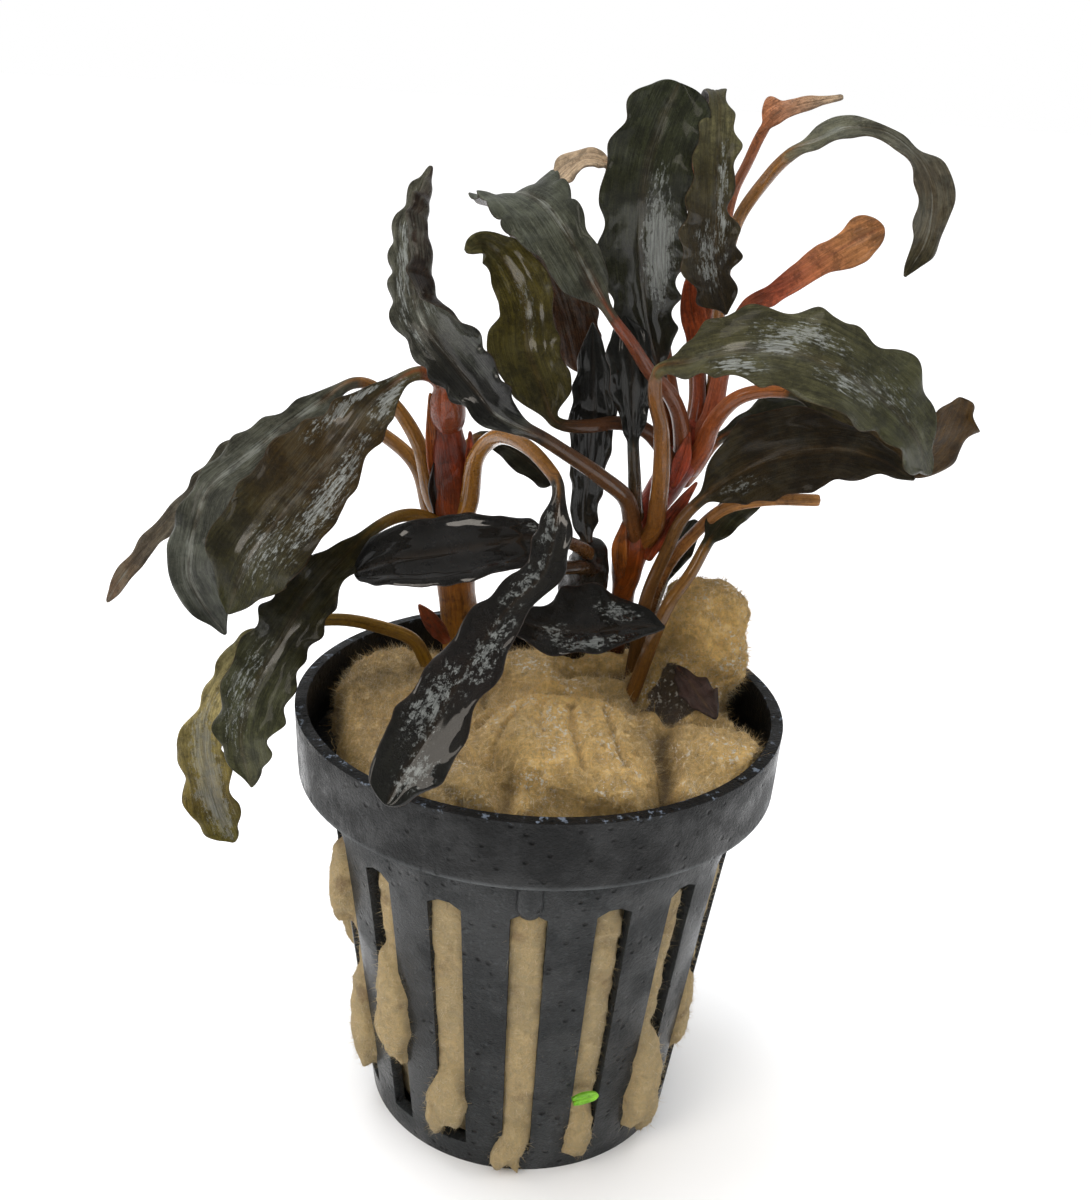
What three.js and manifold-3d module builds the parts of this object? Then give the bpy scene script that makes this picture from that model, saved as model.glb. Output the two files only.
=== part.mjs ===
// Potted bucephalandra: a small aquarium plant in a slotted net pot, held in place by rock wool.
// Millimetres, +Z up. The origin is the middle of the pot's underside. X runs to the right and Y to the back.
import * as THREE from "three";
import { mergeVertices } from "three/addons/utils/BufferGeometryUtils.js";
import Module from "manifold-3d";

const wasm = await Module();
wasm.setup();

// Driving sizes of the pot
const RIM_RADIUS = 25;
const RIM_WALL = 1.1;
const POT_HEIGHT = 46.6;
const BAND_HEIGHT = 7;
const BAND_FOOT_RADIUS = 24.6;
const BODY_TOP_RADIUS = 21.7;
const BASE_RADIUS = 16.7;
const WALL = 1.2;
const SLOTS = 16;
const SLOT_TURN = -89.5; // degrees from +X to the middle of the front slot
const SLOT_TOP_WIDTH = 3.4;
const SLOT_FOOT_WIDTH = 2.9;
const SLOT_FROM = 2.8;
const SLOT_TO = 34.5;
const SLOT_CORNER = 0.7;
const DRAIN_SLOTS = 8;
const DRAIN_FROM = 6.5;
const DRAIN_TO = 13.5;
const DRAIN_WIDTH = 2.2;
const RIB_EVERY = 4; // one moulded rib above every fourth slot
const RIB_RADIUS = 1.3;
const RIB_FOOT = 34.8;

// Sizes shared by the whole plant
const GAP = 0.3; // kept between pieces that touch
const CLEAR = 0.4; // kept inside the pot by wool that is shaped to it
const EDGE_HALF = 0.16; // half the thickness of a blade at its margin
const RIB_HALF = 0.4; // half the thickness of a blade at its midrib
const BLADE_RINGS = 9;
const STALK_STEP = 8; // length between two rings of a stalk
const TIP_ROUND = 0.9; // share of the blade after which its end rounds off
const TO_VIEWER = [0, -0.93, 0.37];

const radians = THREE.MathUtils.degToRad;

// Colours, roughness and metalness of the pieces
const LOOKS = {
  plastic: { color: 0x232627, roughness: 0.45 },
  wool: { color: 0xc2a368, roughness: 0.95 },
  ochre: { color: 0xa0662a, roughness: 0.4 },
  red: { color: 0x8c3d22, roughness: 0.4 },
  dark: { color: 0x2b302b, roughness: 0.3 },
  silver: { color: 0x474f4d, roughness: 0.3 },
  olive: { color: 0x4a4a2a, roughness: 0.4 },
  pink: { color: 0xb5735a, roughness: 0.4 },
  brown: { color: 0x4a3430, roughness: 0.6 },
  green: { color: 0x6fae1e, roughness: 0.4 },
};

// Solids

function solidOf(geometry) {
  const bare = geometry.clone();
  bare.deleteAttribute("normal");
  bare.deleteAttribute("uv");
  const merged = mergeVertices(bare, 1e-4);
  return new wasm.Manifold(
    new wasm.Mesh({
      numProp: 3,
      vertProperties: merged.attributes.position.array,
      triVerts: new Uint32Array(merged.index.array),
    }),
  );
}

function geometryOf(solid) {
  const mesh = solid.getMesh();
  const geometry = new THREE.BufferGeometry();
  geometry.setAttribute("position", new THREE.BufferAttribute(mesh.vertProperties, 3));
  geometry.setIndex(new THREE.BufferAttribute(mesh.triVerts, 1));
  geometry.computeVertexNormals();
  return geometry;
}

function largestBody(solid) {
  return solid.decompose().reduce((best, body) => (body.volume() > best.volume() ? body : best));
}

// Moves every point of a geometry to where the function puts it.
function reshaped(geometry, place) {
  const points = geometry.attributes.position;
  const point = new THREE.Vector3();
  for (let i = 0; i < points.count; i++) {
    point.fromBufferAttribute(points, i);
    place(point);
    points.setXYZ(i, point.x, point.y, point.z);
  }
  return geometry;
}

// The value at t, from 0 to 1, of a list of evenly spread values.
function along(values, t) {
  const x = Math.min(Math.max(t, 0), 1) * (values.length - 1);
  const i = Math.min(Math.floor(x), Math.max(values.length - 2, 0));
  const next = Math.min(i + 1, values.length - 1);
  return values[i] + (values[next] - values[i]) * (x - i);
}

function faceAlong(faces, t) {
  return new THREE.Vector3(...[0, 1, 2].map((axis) => along(faces.map((face) => face[axis]), t)));
}

// Bends a closed cylinder along a spine. stops are shares of the spine's length, one for each ring, and
// corner(stop, x, z) gives a ring corner's distance across the spine and above it from its place on the unit circle.
function bent({ spine, stops, sides, face, corner }) {
  const curve = new THREE.CatmullRomCurve3(
    spine.map((point) => new THREE.Vector3(...point)),
    false,
    "centripetal",
  );
  const last = stops.length - 1;
  const rings = stops.map((stop) => {
    const centre = curve.getPointAt(stop);
    const tangent = curve.getTangentAt(stop);
    const above = face(stop);
    above.addScaledVector(tangent, -above.dot(tangent)).normalize();
    return { centre, above, across: new THREE.Vector3().crossVectors(tangent, above) };
  });
  const cylinder = new THREE.CylinderGeometry(1, 1, 1, sides, last);
  return solidOf(
    reshaped(cylinder, (point) => {
      const i = Math.round((point.y + 0.5) * last);
      const ring = rings[i];
      const [over, up] = corner(stops[i], point.x, point.z);
      point.copy(ring.centre).addScaledVector(ring.across, over).addScaledVector(ring.above, up);
    }),
  );
}

function stemSolid(stem, grow) {
  const count = stem.rings ?? 7;
  return bent({
    spine: stem.spine,
    stops: Array.from({ length: count }, (_, i) => i / (count - 1)),
    sides: 6,
    face: () => new THREE.Vector3(...TO_VIEWER),
    corner: (stop, x, z) => {
      const radius = along(stem.radii, stop) + grow;
      return [x * radius, z * radius];
    },
  });
}

// The share of the spine's length at which the blade starts.
function bladeStart(leaf) {
  const curve = new THREE.CatmullRomCurve3(
    leaf.spine.map((point) => new THREE.Vector3(...point)),
    false,
    "centripetal",
  );
  const steps = 200;
  const lengths = curve.getLengths(steps);
  const here = Math.round((steps * (leaf.stalk - 1)) / (leaf.spine.length - 1));
  return { start: lengths[here] / lengths[steps], length: lengths[steps] };
}

function leafSolid(leaf, grow) {
  const { start, length } = bladeStart(leaf);
  const stalkRings = start > 0 ? Math.max(2, Math.round((start * length) / STALK_STEP)) : 0;
  const bladeRings = leaf.rings ?? BLADE_RINGS;
  const stops = [];
  for (let i = 0; i < stalkRings; i++) stops.push((start * i) / stalkRings);
  for (let i = 0; i <= bladeRings; i++) {
    stops.push(start + (1 - start) * (1 - (1 - i / bladeRings) ** 1.2));
  }
  const faces = leaf.face ?? [TO_VIEWER];
  const cup = radians(leaf.cup ?? 12);
  const [ruffle, waves] = leaf.ruffle ?? [0.35, 3.5];
  const [stalkFoot, stalkTop] = leaf.stalkRadii ?? [0.8, 0.6];
  const inBlade = (stop) => (stop - start) / (1 - start);

  return bent({
    spine: leaf.spine,
    stops,
    sides: 6,
    face: (stop) => faceAlong(faces, inBlade(stop)),
    corner: (stop, x, z) => {
      const t = inBlade(stop);
      if (t < 0) {
        const radius = stalkFoot + (stalkTop - stalkFoot) * (stop / start) + grow;
        return [x * radius, z * radius];
      }
      const opened = Math.min(1, t / 0.15); // the round stalk flattens into the blade
      const rib = stalkTop + (RIB_HALF * (1 - 0.4 * t) - stalkTop) * opened + grow;
      if (Math.abs(x) < 0.1) return [0, z * rib];
      const rounding = t > TIP_ROUND ? Math.sqrt(Math.max(0, 1 - ((t - TIP_ROUND) / (1 - TIP_ROUND)) ** 2)) : 1;
      const width = Math.max(along(x > 0 ? leaf.right : leaf.left, t) * rounding, 0.25);
      const edge = stalkTop / 2 + (EDGE_HALF - stalkTop / 2) * opened + grow;
      const wave = ruffle * Math.sin(2 * Math.PI * waves * t + (x > 0 ? 0 : 2)) * Math.min(1, width / 2);
      const tilt = cup * opened;
      return [
        Math.sign(x) * (width * Math.cos(tilt) + grow),
        Math.sign(z) * edge + width * Math.sin(tilt) + wave * opened,
      ];
    },
  });
}

// A soft rounded block: power below 1 makes it boxier, and the bumps make it lumpy.
function lump({ at, size, turn = 0, power = 0.75, bump = 0.06, detail = 2, top, flat }, grow) {
  const spin = radians(turn);
  return solidOf(
    reshaped(new THREE.IcosahedronGeometry(1, detail), (point) => {
      const wobble =
        1 +
        bump * Math.sin(5.1 * point.x + at[0]) * Math.cos(4.3 * point.y + at[1]) +
        bump * Math.sin(6.7 * point.z + 3.9 * point.x + at[1]);
      for (const axis of ["x", "y", "z"]) {
        point[axis] = Math.sign(point[axis]) * Math.abs(point[axis]) ** power * wobble;
      }
      point.set(point.x * (size[0] + grow), point.y * (size[1] + grow), point.z * (size[2] + grow));
      point.applyAxisAngle(new THREE.Vector3(0, 0, 1), spin);
      point.add(new THREE.Vector3(...at));
      if (top) point.z = Math.min(point.z, top + 0.03 * point.x);
      if (flat) point.z = Math.max(point.z, flat);
    }),
  );
}

// A profile turned about Z, with a flat side in front of each slot.
function turnedProfile(profile, segments) {
  const lathe = new THREE.LatheGeometry(
    profile.map(([radius, height]) => new THREE.Vector2(radius, height)),
    segments,
  );
  lathe.rotateX(Math.PI / 2);
  lathe.rotateZ(radians(SLOT_TURN) + Math.PI / segments);
  return solidOf(lathe);
}

// Pot

const BAND_FOOT = POT_HEIGHT - BAND_HEIGHT;
const bodyRadius = (z) => BASE_RADIUS + ((BODY_TOP_RADIUS - BASE_RADIUS) * z) / BAND_FOOT;
const slotAngle = (i) => radians(SLOT_TURN) + (2 * Math.PI * i) / SLOTS;

const slotIndex = (i) => (i + SLOTS) % SLOTS;

// A slot's outline pushed outwards along +Y, from one distance to another.
function slotPrism(grow, from, to) {
  const foot = SLOT_FOOT_WIDTH / 2 - grow;
  const head = SLOT_TOP_WIDTH / 2 - grow;
  const outline = new THREE.Shape([
    new THREE.Vector2(-foot, SLOT_FROM + grow),
    new THREE.Vector2(foot, SLOT_FROM + grow),
    new THREE.Vector2(head, SLOT_TO - SLOT_CORNER - grow),
    new THREE.Vector2(head - SLOT_CORNER, SLOT_TO - grow),
    new THREE.Vector2(SLOT_CORNER - head, SLOT_TO - grow),
    new THREE.Vector2(-head, SLOT_TO - SLOT_CORNER - grow),
  ]);
  const prism = new THREE.ExtrudeGeometry(outline, { depth: to - from, bevelEnabled: false });
  prism.translate(0, 0, -to);
  prism.rotateX(Math.PI / 2);
  return prism;
}

function slotSolid(i, grow) {
  const prism = slotPrism(grow, BASE_RADIUS - 4, RIM_RADIUS);
  prism.rotateZ(slotAngle(i) - Math.PI / 2);
  return solidOf(prism);
}

function drainSolid(i, grow) {
  const box = new THREE.BoxGeometry(DRAIN_TO - DRAIN_FROM - 2 * grow, DRAIN_WIDTH - 2 * grow, 4 * WALL);
  box.translate((DRAIN_FROM + DRAIN_TO) / 2, 0, WALL / 2);
  box.rotateZ((2 * Math.PI * (i + 0.5)) / DRAIN_SLOTS);
  return solidOf(box);
}

function ribSolid(i) {
  const height = BAND_FOOT + 1 - RIB_FOOT;
  const rib = new THREE.CapsuleGeometry(RIB_RADIUS, height - RIB_RADIUS, 1, 6);
  rib.rotateX(Math.PI / 2);
  rib.translate(BODY_TOP_RADIUS - 0.35, 0, RIB_FOOT + height / 2 + RIB_RADIUS / 2);
  rib.rotateZ(slotAngle(i));
  return solidOf(rib);
}

function potSolid(grow) {
  let pot = turnedProfile(
    [
      [0, -grow],
      [BASE_RADIUS + grow, -grow],
      [BODY_TOP_RADIUS + grow, BAND_FOOT - grow],
      [BAND_FOOT_RADIUS + grow, BAND_FOOT - grow],
      [RIM_RADIUS + grow, POT_HEIGHT + grow],
      [RIM_RADIUS - RIM_WALL - grow, POT_HEIGHT + grow],
      [BAND_FOOT_RADIUS - RIM_WALL - grow, BAND_FOOT + WALL + grow],
      [BODY_TOP_RADIUS - WALL - grow, BAND_FOOT + grow],
      [BASE_RADIUS - WALL - grow, WALL + grow],
      [0, WALL + grow],
    ],
    SLOTS * 2,
  );
  for (let i = 0; i < SLOTS; i += RIB_EVERY) pot = pot.add(ribSolid(i));
  for (let i = 0; i < SLOTS; i++) pot = pot.subtract(slotSolid(i, grow));
  for (let i = 0; i < DRAIN_SLOTS; i++) pot = pot.subtract(drainSolid(i, grow));
  return pot;
}

// Rock wool: a plug that fills the pot and swells out of its slots, and three torn wads on top of it

const PLUG_TOP = 40;

// Where wool swells out of a slot: the slot's number from the front one to the right, height, half width, half height
// and how far it stands out.
const SWELLS = [
  { slot: -4, z: 22, wide: 2.1, tall: 6, out: 1.4 },
  { slot: -3, z: 29, wide: 2.2, tall: 4.4, out: 2.2 },
  { slot: -3, z: 11, wide: 2.6, tall: 6.5, out: 2.2 },
  { slot: -2, z: 18, wide: 2.4, tall: 7, out: 2.2 },
  { slot: -1, z: 8.6, wide: 2.3, tall: 4.4, out: 1.7 },
  { slot: 0, z: 3.6, wide: 2.2, tall: 2.7, out: 1.5 },
  { slot: 1, z: 4.6, wide: 1.9, tall: 3.4, out: 1.4 },
  { slot: 2, z: 9.5, wide: 2.6, tall: 6.8, out: 2.3 },
  { slot: 3, z: 14, wide: 1.8, tall: 5, out: 1 },
  { slot: 5, z: 9, wide: 2, tall: 4, out: 1.4 },
  { slot: 7, z: 22, wide: 1.9, tall: 5, out: 1.2 },
  { slot: 9, z: 6, wide: 2.2, tall: 3.5, out: 1.6 },
];

// A swell lies on the wall's outside, with the gap behind it, and reaches inwards only over its slot.
function swellSolid({ slot, z, wide, tall, out }) {
  const swell = reshaped(new THREE.SphereGeometry(1, 6, 4), (point) => {
    const wobble = 1 + 0.1 * Math.sin(4 * point.z + slot) + 0.08 * Math.cos(5 * point.y + z);
    const height = Math.max(z + point.z * tall * wobble, GAP);
    const depth = point.x > 0 ? point.x * out : point.x * 0.1;
    point.set(bodyRadius(height) + CLEAR + 0.1 + depth, point.y * wide * wobble, height);
  });
  swell.rotateZ(slotAngle(slot));
  return solidOf(swell);
}

// The tongue of wool that fills one slot, from inside the plug to just past the wall where a swell joins it.
function tongueSolid(i) {
  const past = SWELLS.some((swell) => slotIndex(swell.slot) === i) ? CLEAR + 0.3 : -0.25;
  const tongue = reshaped(slotPrism(CLEAR, 0, 1), (point) => {
    point.y = point.y > 0.5 ? bodyRadius(point.z) + past : bodyRadius(point.z) - WALL - 2;
  });
  tongue.rotateZ(slotAngle(i) - Math.PI / 2);
  return solidOf(tongue);
}

function plugSolid() {
  let plug = turnedProfile(
    [
      [0, WALL + CLEAR],
      [BASE_RADIUS - WALL - CLEAR, WALL + CLEAR],
      [BODY_TOP_RADIUS - WALL - CLEAR, PLUG_TOP],
      [0, PLUG_TOP],
    ],
    SLOTS,
  );
  for (let i = 0; i < SLOTS; i++) plug = plug.add(tongueSolid(i));
  for (const swell of SWELLS) plug = plug.add(swellSolid(swell));
  return plug;
}

const WADS = {
  wool_wad_left: [
    { at: [-13.2, 0.5, 42.3], size: [7.6, 14, 3.8], turn: 6, power: 0.5, top: 45.7 },
    { at: [-19, 1.5, 42], size: [2.8, 8, 3], turn: 10, power: 0.7, detail: 1 },
  ],
  wool_wad_front: [
    { at: [3, -9.5, 43], size: [10, 10.8, 7.2], turn: -8, power: 0.75 },
    { at: [-4.5, -14, 42.4], size: [6.5, 7, 5.2], turn: 30, power: 0.7, detail: 1 },
    { at: [4, 5, 43], size: [10, 9, 5.6], turn: 20, power: 0.7, detail: 1 },
  ],
  wool_wad_right: [
    { at: [14.6, -6, 42.6], size: [7.4, 10.6, 4.8], turn: 28, power: 0.65 },
    { at: [14.5, 7.5, 44], size: [6, 7, 6.5], turn: -20, power: 0.75, detail: 1 },
    { at: [16.6, 6.4, 51.4], size: [5.4, 3.8, 7.4], turn: -15, power: 0.8, bump: 0.09, detail: 1 },
  ],
};
// The hollow pressed into the right wad
const HOLLOW = { at: [13.2, -0.2, 48.8], size: [3.4, 3.4, 4.4], power: 1, detail: 1 };

// Stems

const STEMS = {
  shoot_left: {
    look: "ochre",
    spine: [
      [-9, 14, 42],
      [-9.3, 13.5, 48],
      [-9.8, 12.5, 53],
      [-10.3, 11, 60],
      [-10.5, 9.5, 66.5],
      [-10.8, 8.5, 71.5],
      [-11, 7.6, 75],
    ],
    radii: [2, 2, 2.05, 2.1, 2.1, 1.85, 1.3],
  },
  shoot_right: {
    look: "red",
    spine: [
      [7.5, 11, 43],
      [8, 10, 50],
      [8.3, 9, 56],
      [9, 7, 63],
      [11.5, 8, 67.5],
      [13.7, 9, 71.5],
      [14.2, 9.5, 75],
    ],
    radii: [1, 1.1, 1.2, 1.9, 1.6, 1.8, 1],
  },
  rhizome: {
    look: "dark",
    spine: [
      [2.6, 11, 43],
      [3, 10, 48],
      [3.6, 8.2, 54],
      [4.2, 6.6, 58.6],
      [4.4, 6.2, 62],
    ],
    radii: [1.6, 1.8, 2.1, 2.4, 1.6],
  },
  petiole_cut: {
    look: "ochre",
    spine: [
      [10.8, 9.2, 47],
      [11.2, 8.5, 53.5],
      [12.5, 7.5, 59],
      [14.6, 6, 63],
      [17.5, 5, 66.5],
      [21.5, 4, 68],
      [26.7, 3, 68.6],
    ],
    radii: [0.7, 0.65, 0.6],
  },
};

// Leaves. The spine runs from the foot of the stalk to the tip, and its first points, stalk in number, are the stalk.
// left and right are the blade's half widths at even steps, seen along the spine with the upper face towards the eye,
// and face is where the upper face looks.
const LEAVES = {
  leaf_left_front: {
    look: "dark",
    stalk: 4,
    spine: [
      [-11, 7.4, 75.4],
      [-11.4, 7, 77.2],
      [-12.5, 6, 78.3],
      [-14, 5, 78.5],
      [-17.5, 3, 76.5],
      [-21.5, 0, 71],
      [-25.5, -3, 66],
      [-28.5, -5, 62],
      [-30.5, -6, 56.5],
    ],
    right: [0.7, 1.7, 4.1, 5.4, 5.4, 4.1, 1.6],
    left: [0.7, 3.2, 3.9, 5, 5.7, 5, 1.6],
    face: [[-0.2, -0.85, 0.5]],
  },
  leaf_left_middle: {
    look: "silver",
    stalk: 5,
    spine: [
      [-12.5, 10.5, 64],
      [-14, 11, 69.5],
      [-16.5, 11, 73.5],
      [-19, 9.5, 76],
      [-20.5, 8, 76.5],
      [-25.5, 5, 73.5],
      [-30, 2, 70],
      [-33.5, 0, 67],
      [-34.5, -1.5, 63.5],
      [-35, -2.5, 59],
      [-33.5, -3, 56],
      [-31.5, -3, 53],
    ],
    right: [0.6, 1.5, 2.3, 1.8, 2.5, 2.2, 0.9],
    left: [0.6, 3.6, 3.6, 4.2, 2.8, 3.2, 1],
    face: [[-0.3, -0.8, 0.5]],
  },
  leaf_left_back: {
    look: "silver",
    stalk: 5,
    spine: [
      [-12.8, 12.5, 61.5],
      [-14.5, 13.5, 66.5],
      [-18, 14, 69.5],
      [-22.5, 13, 72],
      [-26.5, 12, 71.5],
      [-32, 10, 69],
      [-36, 9, 65],
      [-39.5, 8, 61],
      [-42.5, 7.5, 57.5],
      [-45, 7, 54],
      [-46.5, 7, 51.5],
    ],
    right: [0.6, 1.4, 1.4, 1.2, 1, 1, 0.8],
    left: [0.6, 2, 2.2, 1.6, 1.2, 1.2, 0.6],
    face: [
      [-0.3, -0.5, 0.8],
      [-0.2, -0.9, 0.3],
    ],
  },
  leaf_left_low: {
    look: "dark",
    stalk: 4,
    spine: [
      [-11.5, 9, 61.5],
      [-12.8, 8, 62.7],
      [-15, 6, 63.5],
      [-17.5, 3, 63],
      [-20.5, 0, 60.5],
      [-23, -3, 58],
      [-25.5, -6, 54],
      [-27.5, -8, 50.5],
      [-28.5, -9.5, 47.5],
      [-28.5, -10.5, 44.5],
      [-27.5, -11, 40.5],
    ],
    right: [0.6, 2, 2.9, 2.6, 2.6, 2.2, 0.8],
    left: [0.6, 1.8, 3, 3.2, 4, 3.3, 1.4],
    ruffle: [0.5, 4.5],
  },
  leaf_left_tip: {
    look: "olive",
    stalk: 6,
    spine: [
      [-12.5, 9, 45.5],
      [-14, 8.5, 48.5],
      [-17.5, 8, 50],
      [-21, 6, 51.5],
      [-24, 4, 52],
      [-26.5, 2, 52],
      [-29.5, 0, 50.5],
      [-32.5, -1, 47],
      [-34, -2, 43.5],
      [-34, -3, 40.5],
      [-33.5, -3.5, 37.5],
      [-32.5, -4, 33.5],
      [-31, -4.5, 30],
    ],
    right: [0.6, 2.1, 1.3, 1.8, 2.9, 3.1, 1.4],
    left: [0.6, 1.5, 2.2, 1.4, 2.4, 2.3, 1.2],
    ruffle: [0.5, 3.5],
  },
  leaf_wet_flat: {
    look: "dark",
    stalk: 3,
    spine: [
      [4, 5, 61],
      [2.5, 3, 62.5],
      [0.5, 0, 64],
      [-2, -1.5, 64.5],
      [-4.5, -2, 64],
      [-10.5, -2, 62.5],
      [-15, -2, 61.5],
      [-19, -1, 59.5],
    ],
    right: [0.7, 2.4, 3.2, 3.7, 3.6, 3.4, 2.6],
    left: [0.7, 2.6, 3, 3.7, 3.7, 3.4, 2.6],
    face: [[0, -0.6, 0.8]],
    cup: 4,
    ruffle: [0.15, 3.5],
  },
  leaf_front_long: {
    look: "dark",
    stalk: 6,
    spine: [
      [-8.6, 8.5, 64],
      [-7.8, 6, 70],
      [-5.5, 2, 73.5],
      [-2.5, -3, 74],
      [-0.5, -6, 73],
      [0.5, -7.5, 72],
      [0.5, -10, 68.5],
      [-0.5, -13, 65],
      [-3, -15.5, 63],
      [-5.5, -18, 60],
      [-7.5, -20.5, 57],
      [-9.5, -23, 53.5],
      [-11.5, -25, 50.5],
      [-12.5, -26.5, 48.5],
    ],
    right: [0.5, 1.7, 2.2, 2.8, 3.2, 3.2, 3],
    left: [0.5, 1.8, 1.7, 2.8, 3.1, 3.4, 3],
    face: [[0, -0.8, 0.6]],
    ruffle: [0.3, 3],
  },
  leaf_silver: {
    look: "silver",
    stalk: 5,
    spine: [
      [8.3, 5, 64.5],
      [7.5, 3, 67.5],
      [4.5, -1, 71],
      [1, -4, 74],
      [-1.5, -6, 76],
      [-5.5, -7, 78],
      [-7.5, -6, 80],
      [-10, -5, 82.5],
      [-12, -4, 84.5],
      [-13.5, -2, 87],
      [-14, 0, 90],
      [-14.5, 2, 92.5],
      [-14, 4, 95],
      [-13, 6, 98],
    ],
    right: [0.6, 2.8, 3.8, 3.6, 3.3, 2.8, 1],
    left: [0.6, 1.5, 2.5, 2.3, 2.2, 1.5, 0.6],
    face: [[-0.2, -0.9, 0.3]],
    ruffle: [0.45, 5],
  },
  leaf_olive: {
    look: "olive",
    stalk: 5,
    spine: [
      [11.5, 6.5, 71],
      [9, 5.6, 74],
      [6, 4, 75],
      [3, 2, 75],
      [0, 1, 75.5],
      [-1.5, 2, 78.5],
      [-3, 3, 82],
      [-3.5, 5, 85],
      [-4.5, 6, 87.5],
      [-6.5, 7.5, 90],
      [-8, 7, 91],
      [-9.5, 5.5, 90.5],
    ],
    right: [0.6, 3, 3.2, 2.8, 3.3, 2, 0.8],
    left: [0.6, 2.9, 3.9, 2.6, 2.3, 1.7, 0.9],
  },
  leaf_grey_arch: {
    look: "silver",
    stalk: 6,
    spine: [
      [12.8, 7, 73],
      [12.2, 6, 75.5],
      [11, 4, 78],
      [8.5, 1, 81],
      [6.5, -1, 84],
      [4.5, -2, 86.5],
      [2, -2, 90.5],
      [0, -1, 93.5],
      [-2, 1.5, 95.5],
      [-4.5, 5, 96],
      [-6, 9, 94.5],
      [-3.5, 11, 91],
      [-0.5, 12, 86.5],
      [1.2, 12, 82],
      [2.2, 12, 78],
    ],
    right: [0.6, 1.8, 3.1, 4.8, 3.7, 3.2, 1.4],
    left: [0.6, 3.3, 4.9, 3.7, 2.8, 2.8, 1.4],
    face: [
      [0, -0.9, 0.4],
      [0, -0.9, 0.4],
      [0, -0.2, 1],
      [0, 1, 0.2],
      [0, 1, 0],
    ],
    rings: 16,
  },
  leaf_back_small: {
    look: "olive",
    stalk: 5,
    spine: [
      [12, 13, 75.5],
      [10, 15.5, 83.5],
      [8.5, 17, 91],
      [6.5, 17, 96],
      [4, 17, 98],
      [1.5, 17, 98.5],
      [0, 17, 97.5],
      [-1.5, 16.5, 96],
    ],
    right: [0.6, 1.6, 2, 1.6, 1],
    left: [0.6, 1.6, 2, 1.6, 1],
    face: [[0, -0.5, 0.85]],
    ruffle: [0.15, 3],
    rings: 7,
  },
  leaf_tall: {
    look: "silver",
    stalk: 3,
    spine: [
      [12.2, 10.6, 71],
      [11, 9.5, 74.5],
      [10, 8, 79],
      [8, 6.5, 86],
      [7, 5.5, 92.5],
      [7, 5, 98.5],
      [8, 5.5, 103],
      [9.5, 7, 106.5],
    ],
    right: [0.8, 2.6, 3.8, 4.6, 4.7, 4.5, 3.8],
    left: [0.8, 2.4, 3.6, 4.1, 4.2, 3.5, 2.6],
  },
  leaf_tall_right: {
    look: "dark",
    stalk: 5,
    spine: [
      [14.4, 11, 76],
      [13.5, 14, 83.5],
      [13, 16, 91.5],
      [12.5, 15.5, 99],
      [12.5, 13, 104],
      [13, 9.4, 105.8],
      [13.3, 6, 104.4],
      [13.4, 4, 99.5],
      [13.6, 3.1, 95],
      [14, 2.8, 90.5],
      [15.4, 2.4, 86.4],
    ],
    right: [0.6, 1, 1.7, 2.8, 3.6, 3.7, 1],
    left: [0.6, 0.9, 1.5, 1.8, 1.8, 2.2, 1],
    face: [
      [0, -0.2, 1],
      [0.3, -0.9, 0.3],
      [0.3, -0.9, 0.3],
    ],
  },
  leaf_young_top: {
    look: "pink",
    stalk: 6,
    spine: [
      [14.6, 13, 73],
      [14.8, 15, 80.5],
      [15.5, 14, 89],
      [16, 12, 96.5],
      [17, 11, 99.5],
      [18, 10, 102.5],
      [19, 9.5, 104],
      [21, 9, 105],
      [23, 9, 105.5],
      [25, 9, 106],
    ],
    right: [0.5, 1.3, 1.3, 1, 0.6],
    left: [0.5, 1.2, 0.8, 0.6, 0.4],
    face: [[0, -0.7, 0.7]],
    ruffle: [0.1, 2],
    stalkRadii: [0.6, 0.5],
    rings: 8,
  },
  leaf_arch_right: {
    look: "silver",
    stalk: 6,
    spine: [
      [15.6, 10.6, 72],
      [15.8, 11, 80],
      [15.6, 10, 87.5],
      [16.2, 8.6, 94],
      [18, 6.5, 98],
      [20, 4, 101],
      [22.5, 3, 102.5],
      [24.5, 2, 103.5],
      [27.5, 1, 103.5],
      [30.5, 0, 101.5],
      [32, -1, 98.5],
      [32, -1, 94.5],
      [30.5, -2, 91.5],
    ],
    right: [0.6, 1.1, 1.4, 2, 1.8, 1.4, 0.6],
    left: [0.6, 1.8, 0.9, 1.1, 2.5, 1.7, 0.6],
    face: [[0.2, -0.6, 0.7]],
    stalkRadii: [0.7, 0.6],
  },
  leaf_young_red: {
    look: "pink",
    stalk: 4,
    spine: [
      [15.6, 8.4, 75],
      [16.2, 8.6, 79.5],
      [17, 8.4, 83.5],
      [18, 8, 86.5],
      [21.5, 7, 89],
      [24.5, 6, 91.5],
      [27, 5, 93.5],
      [29.5, 4.5, 95],
    ],
    right: [0.6, 1.2, 1.4, 1.4, 2.4, 2],
    left: [0.6, 0.8, 1.4, 1.8, 1.8, 1.8],
    ruffle: [0.12, 3],
    rings: 9,
  },
  leaf_right_front: {
    look: "dark",
    stalk: 6,
    spine: [
      [10.6, 5, 64],
      [10.6, 3.4, 66.5],
      [10.5, 1, 70.5],
      [10, -1, 76],
      [9, -3, 79.5],
      [9, -4, 82],
      [11.5, -6, 83.5],
      [15, -8, 85],
      [19.5, -9, 85.5],
      [24, -10, 84.5],
      [28, -9, 82],
      [31.5, -8, 79],
      [34.5, -6, 74.5],
    ],
    right: [0.6, 2.2, 4.1, 4.6, 4.1, 3.5, 1.2],
    left: [0.6, 2.8, 4.1, 4.5, 4.9, 3.2, 1],
    face: [[0.1, -0.75, 0.65]],
  },
  leaf_right_back: {
    look: "dark",
    stalk: 5,
    spine: [
      [9.6, 5.4, 47],
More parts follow.
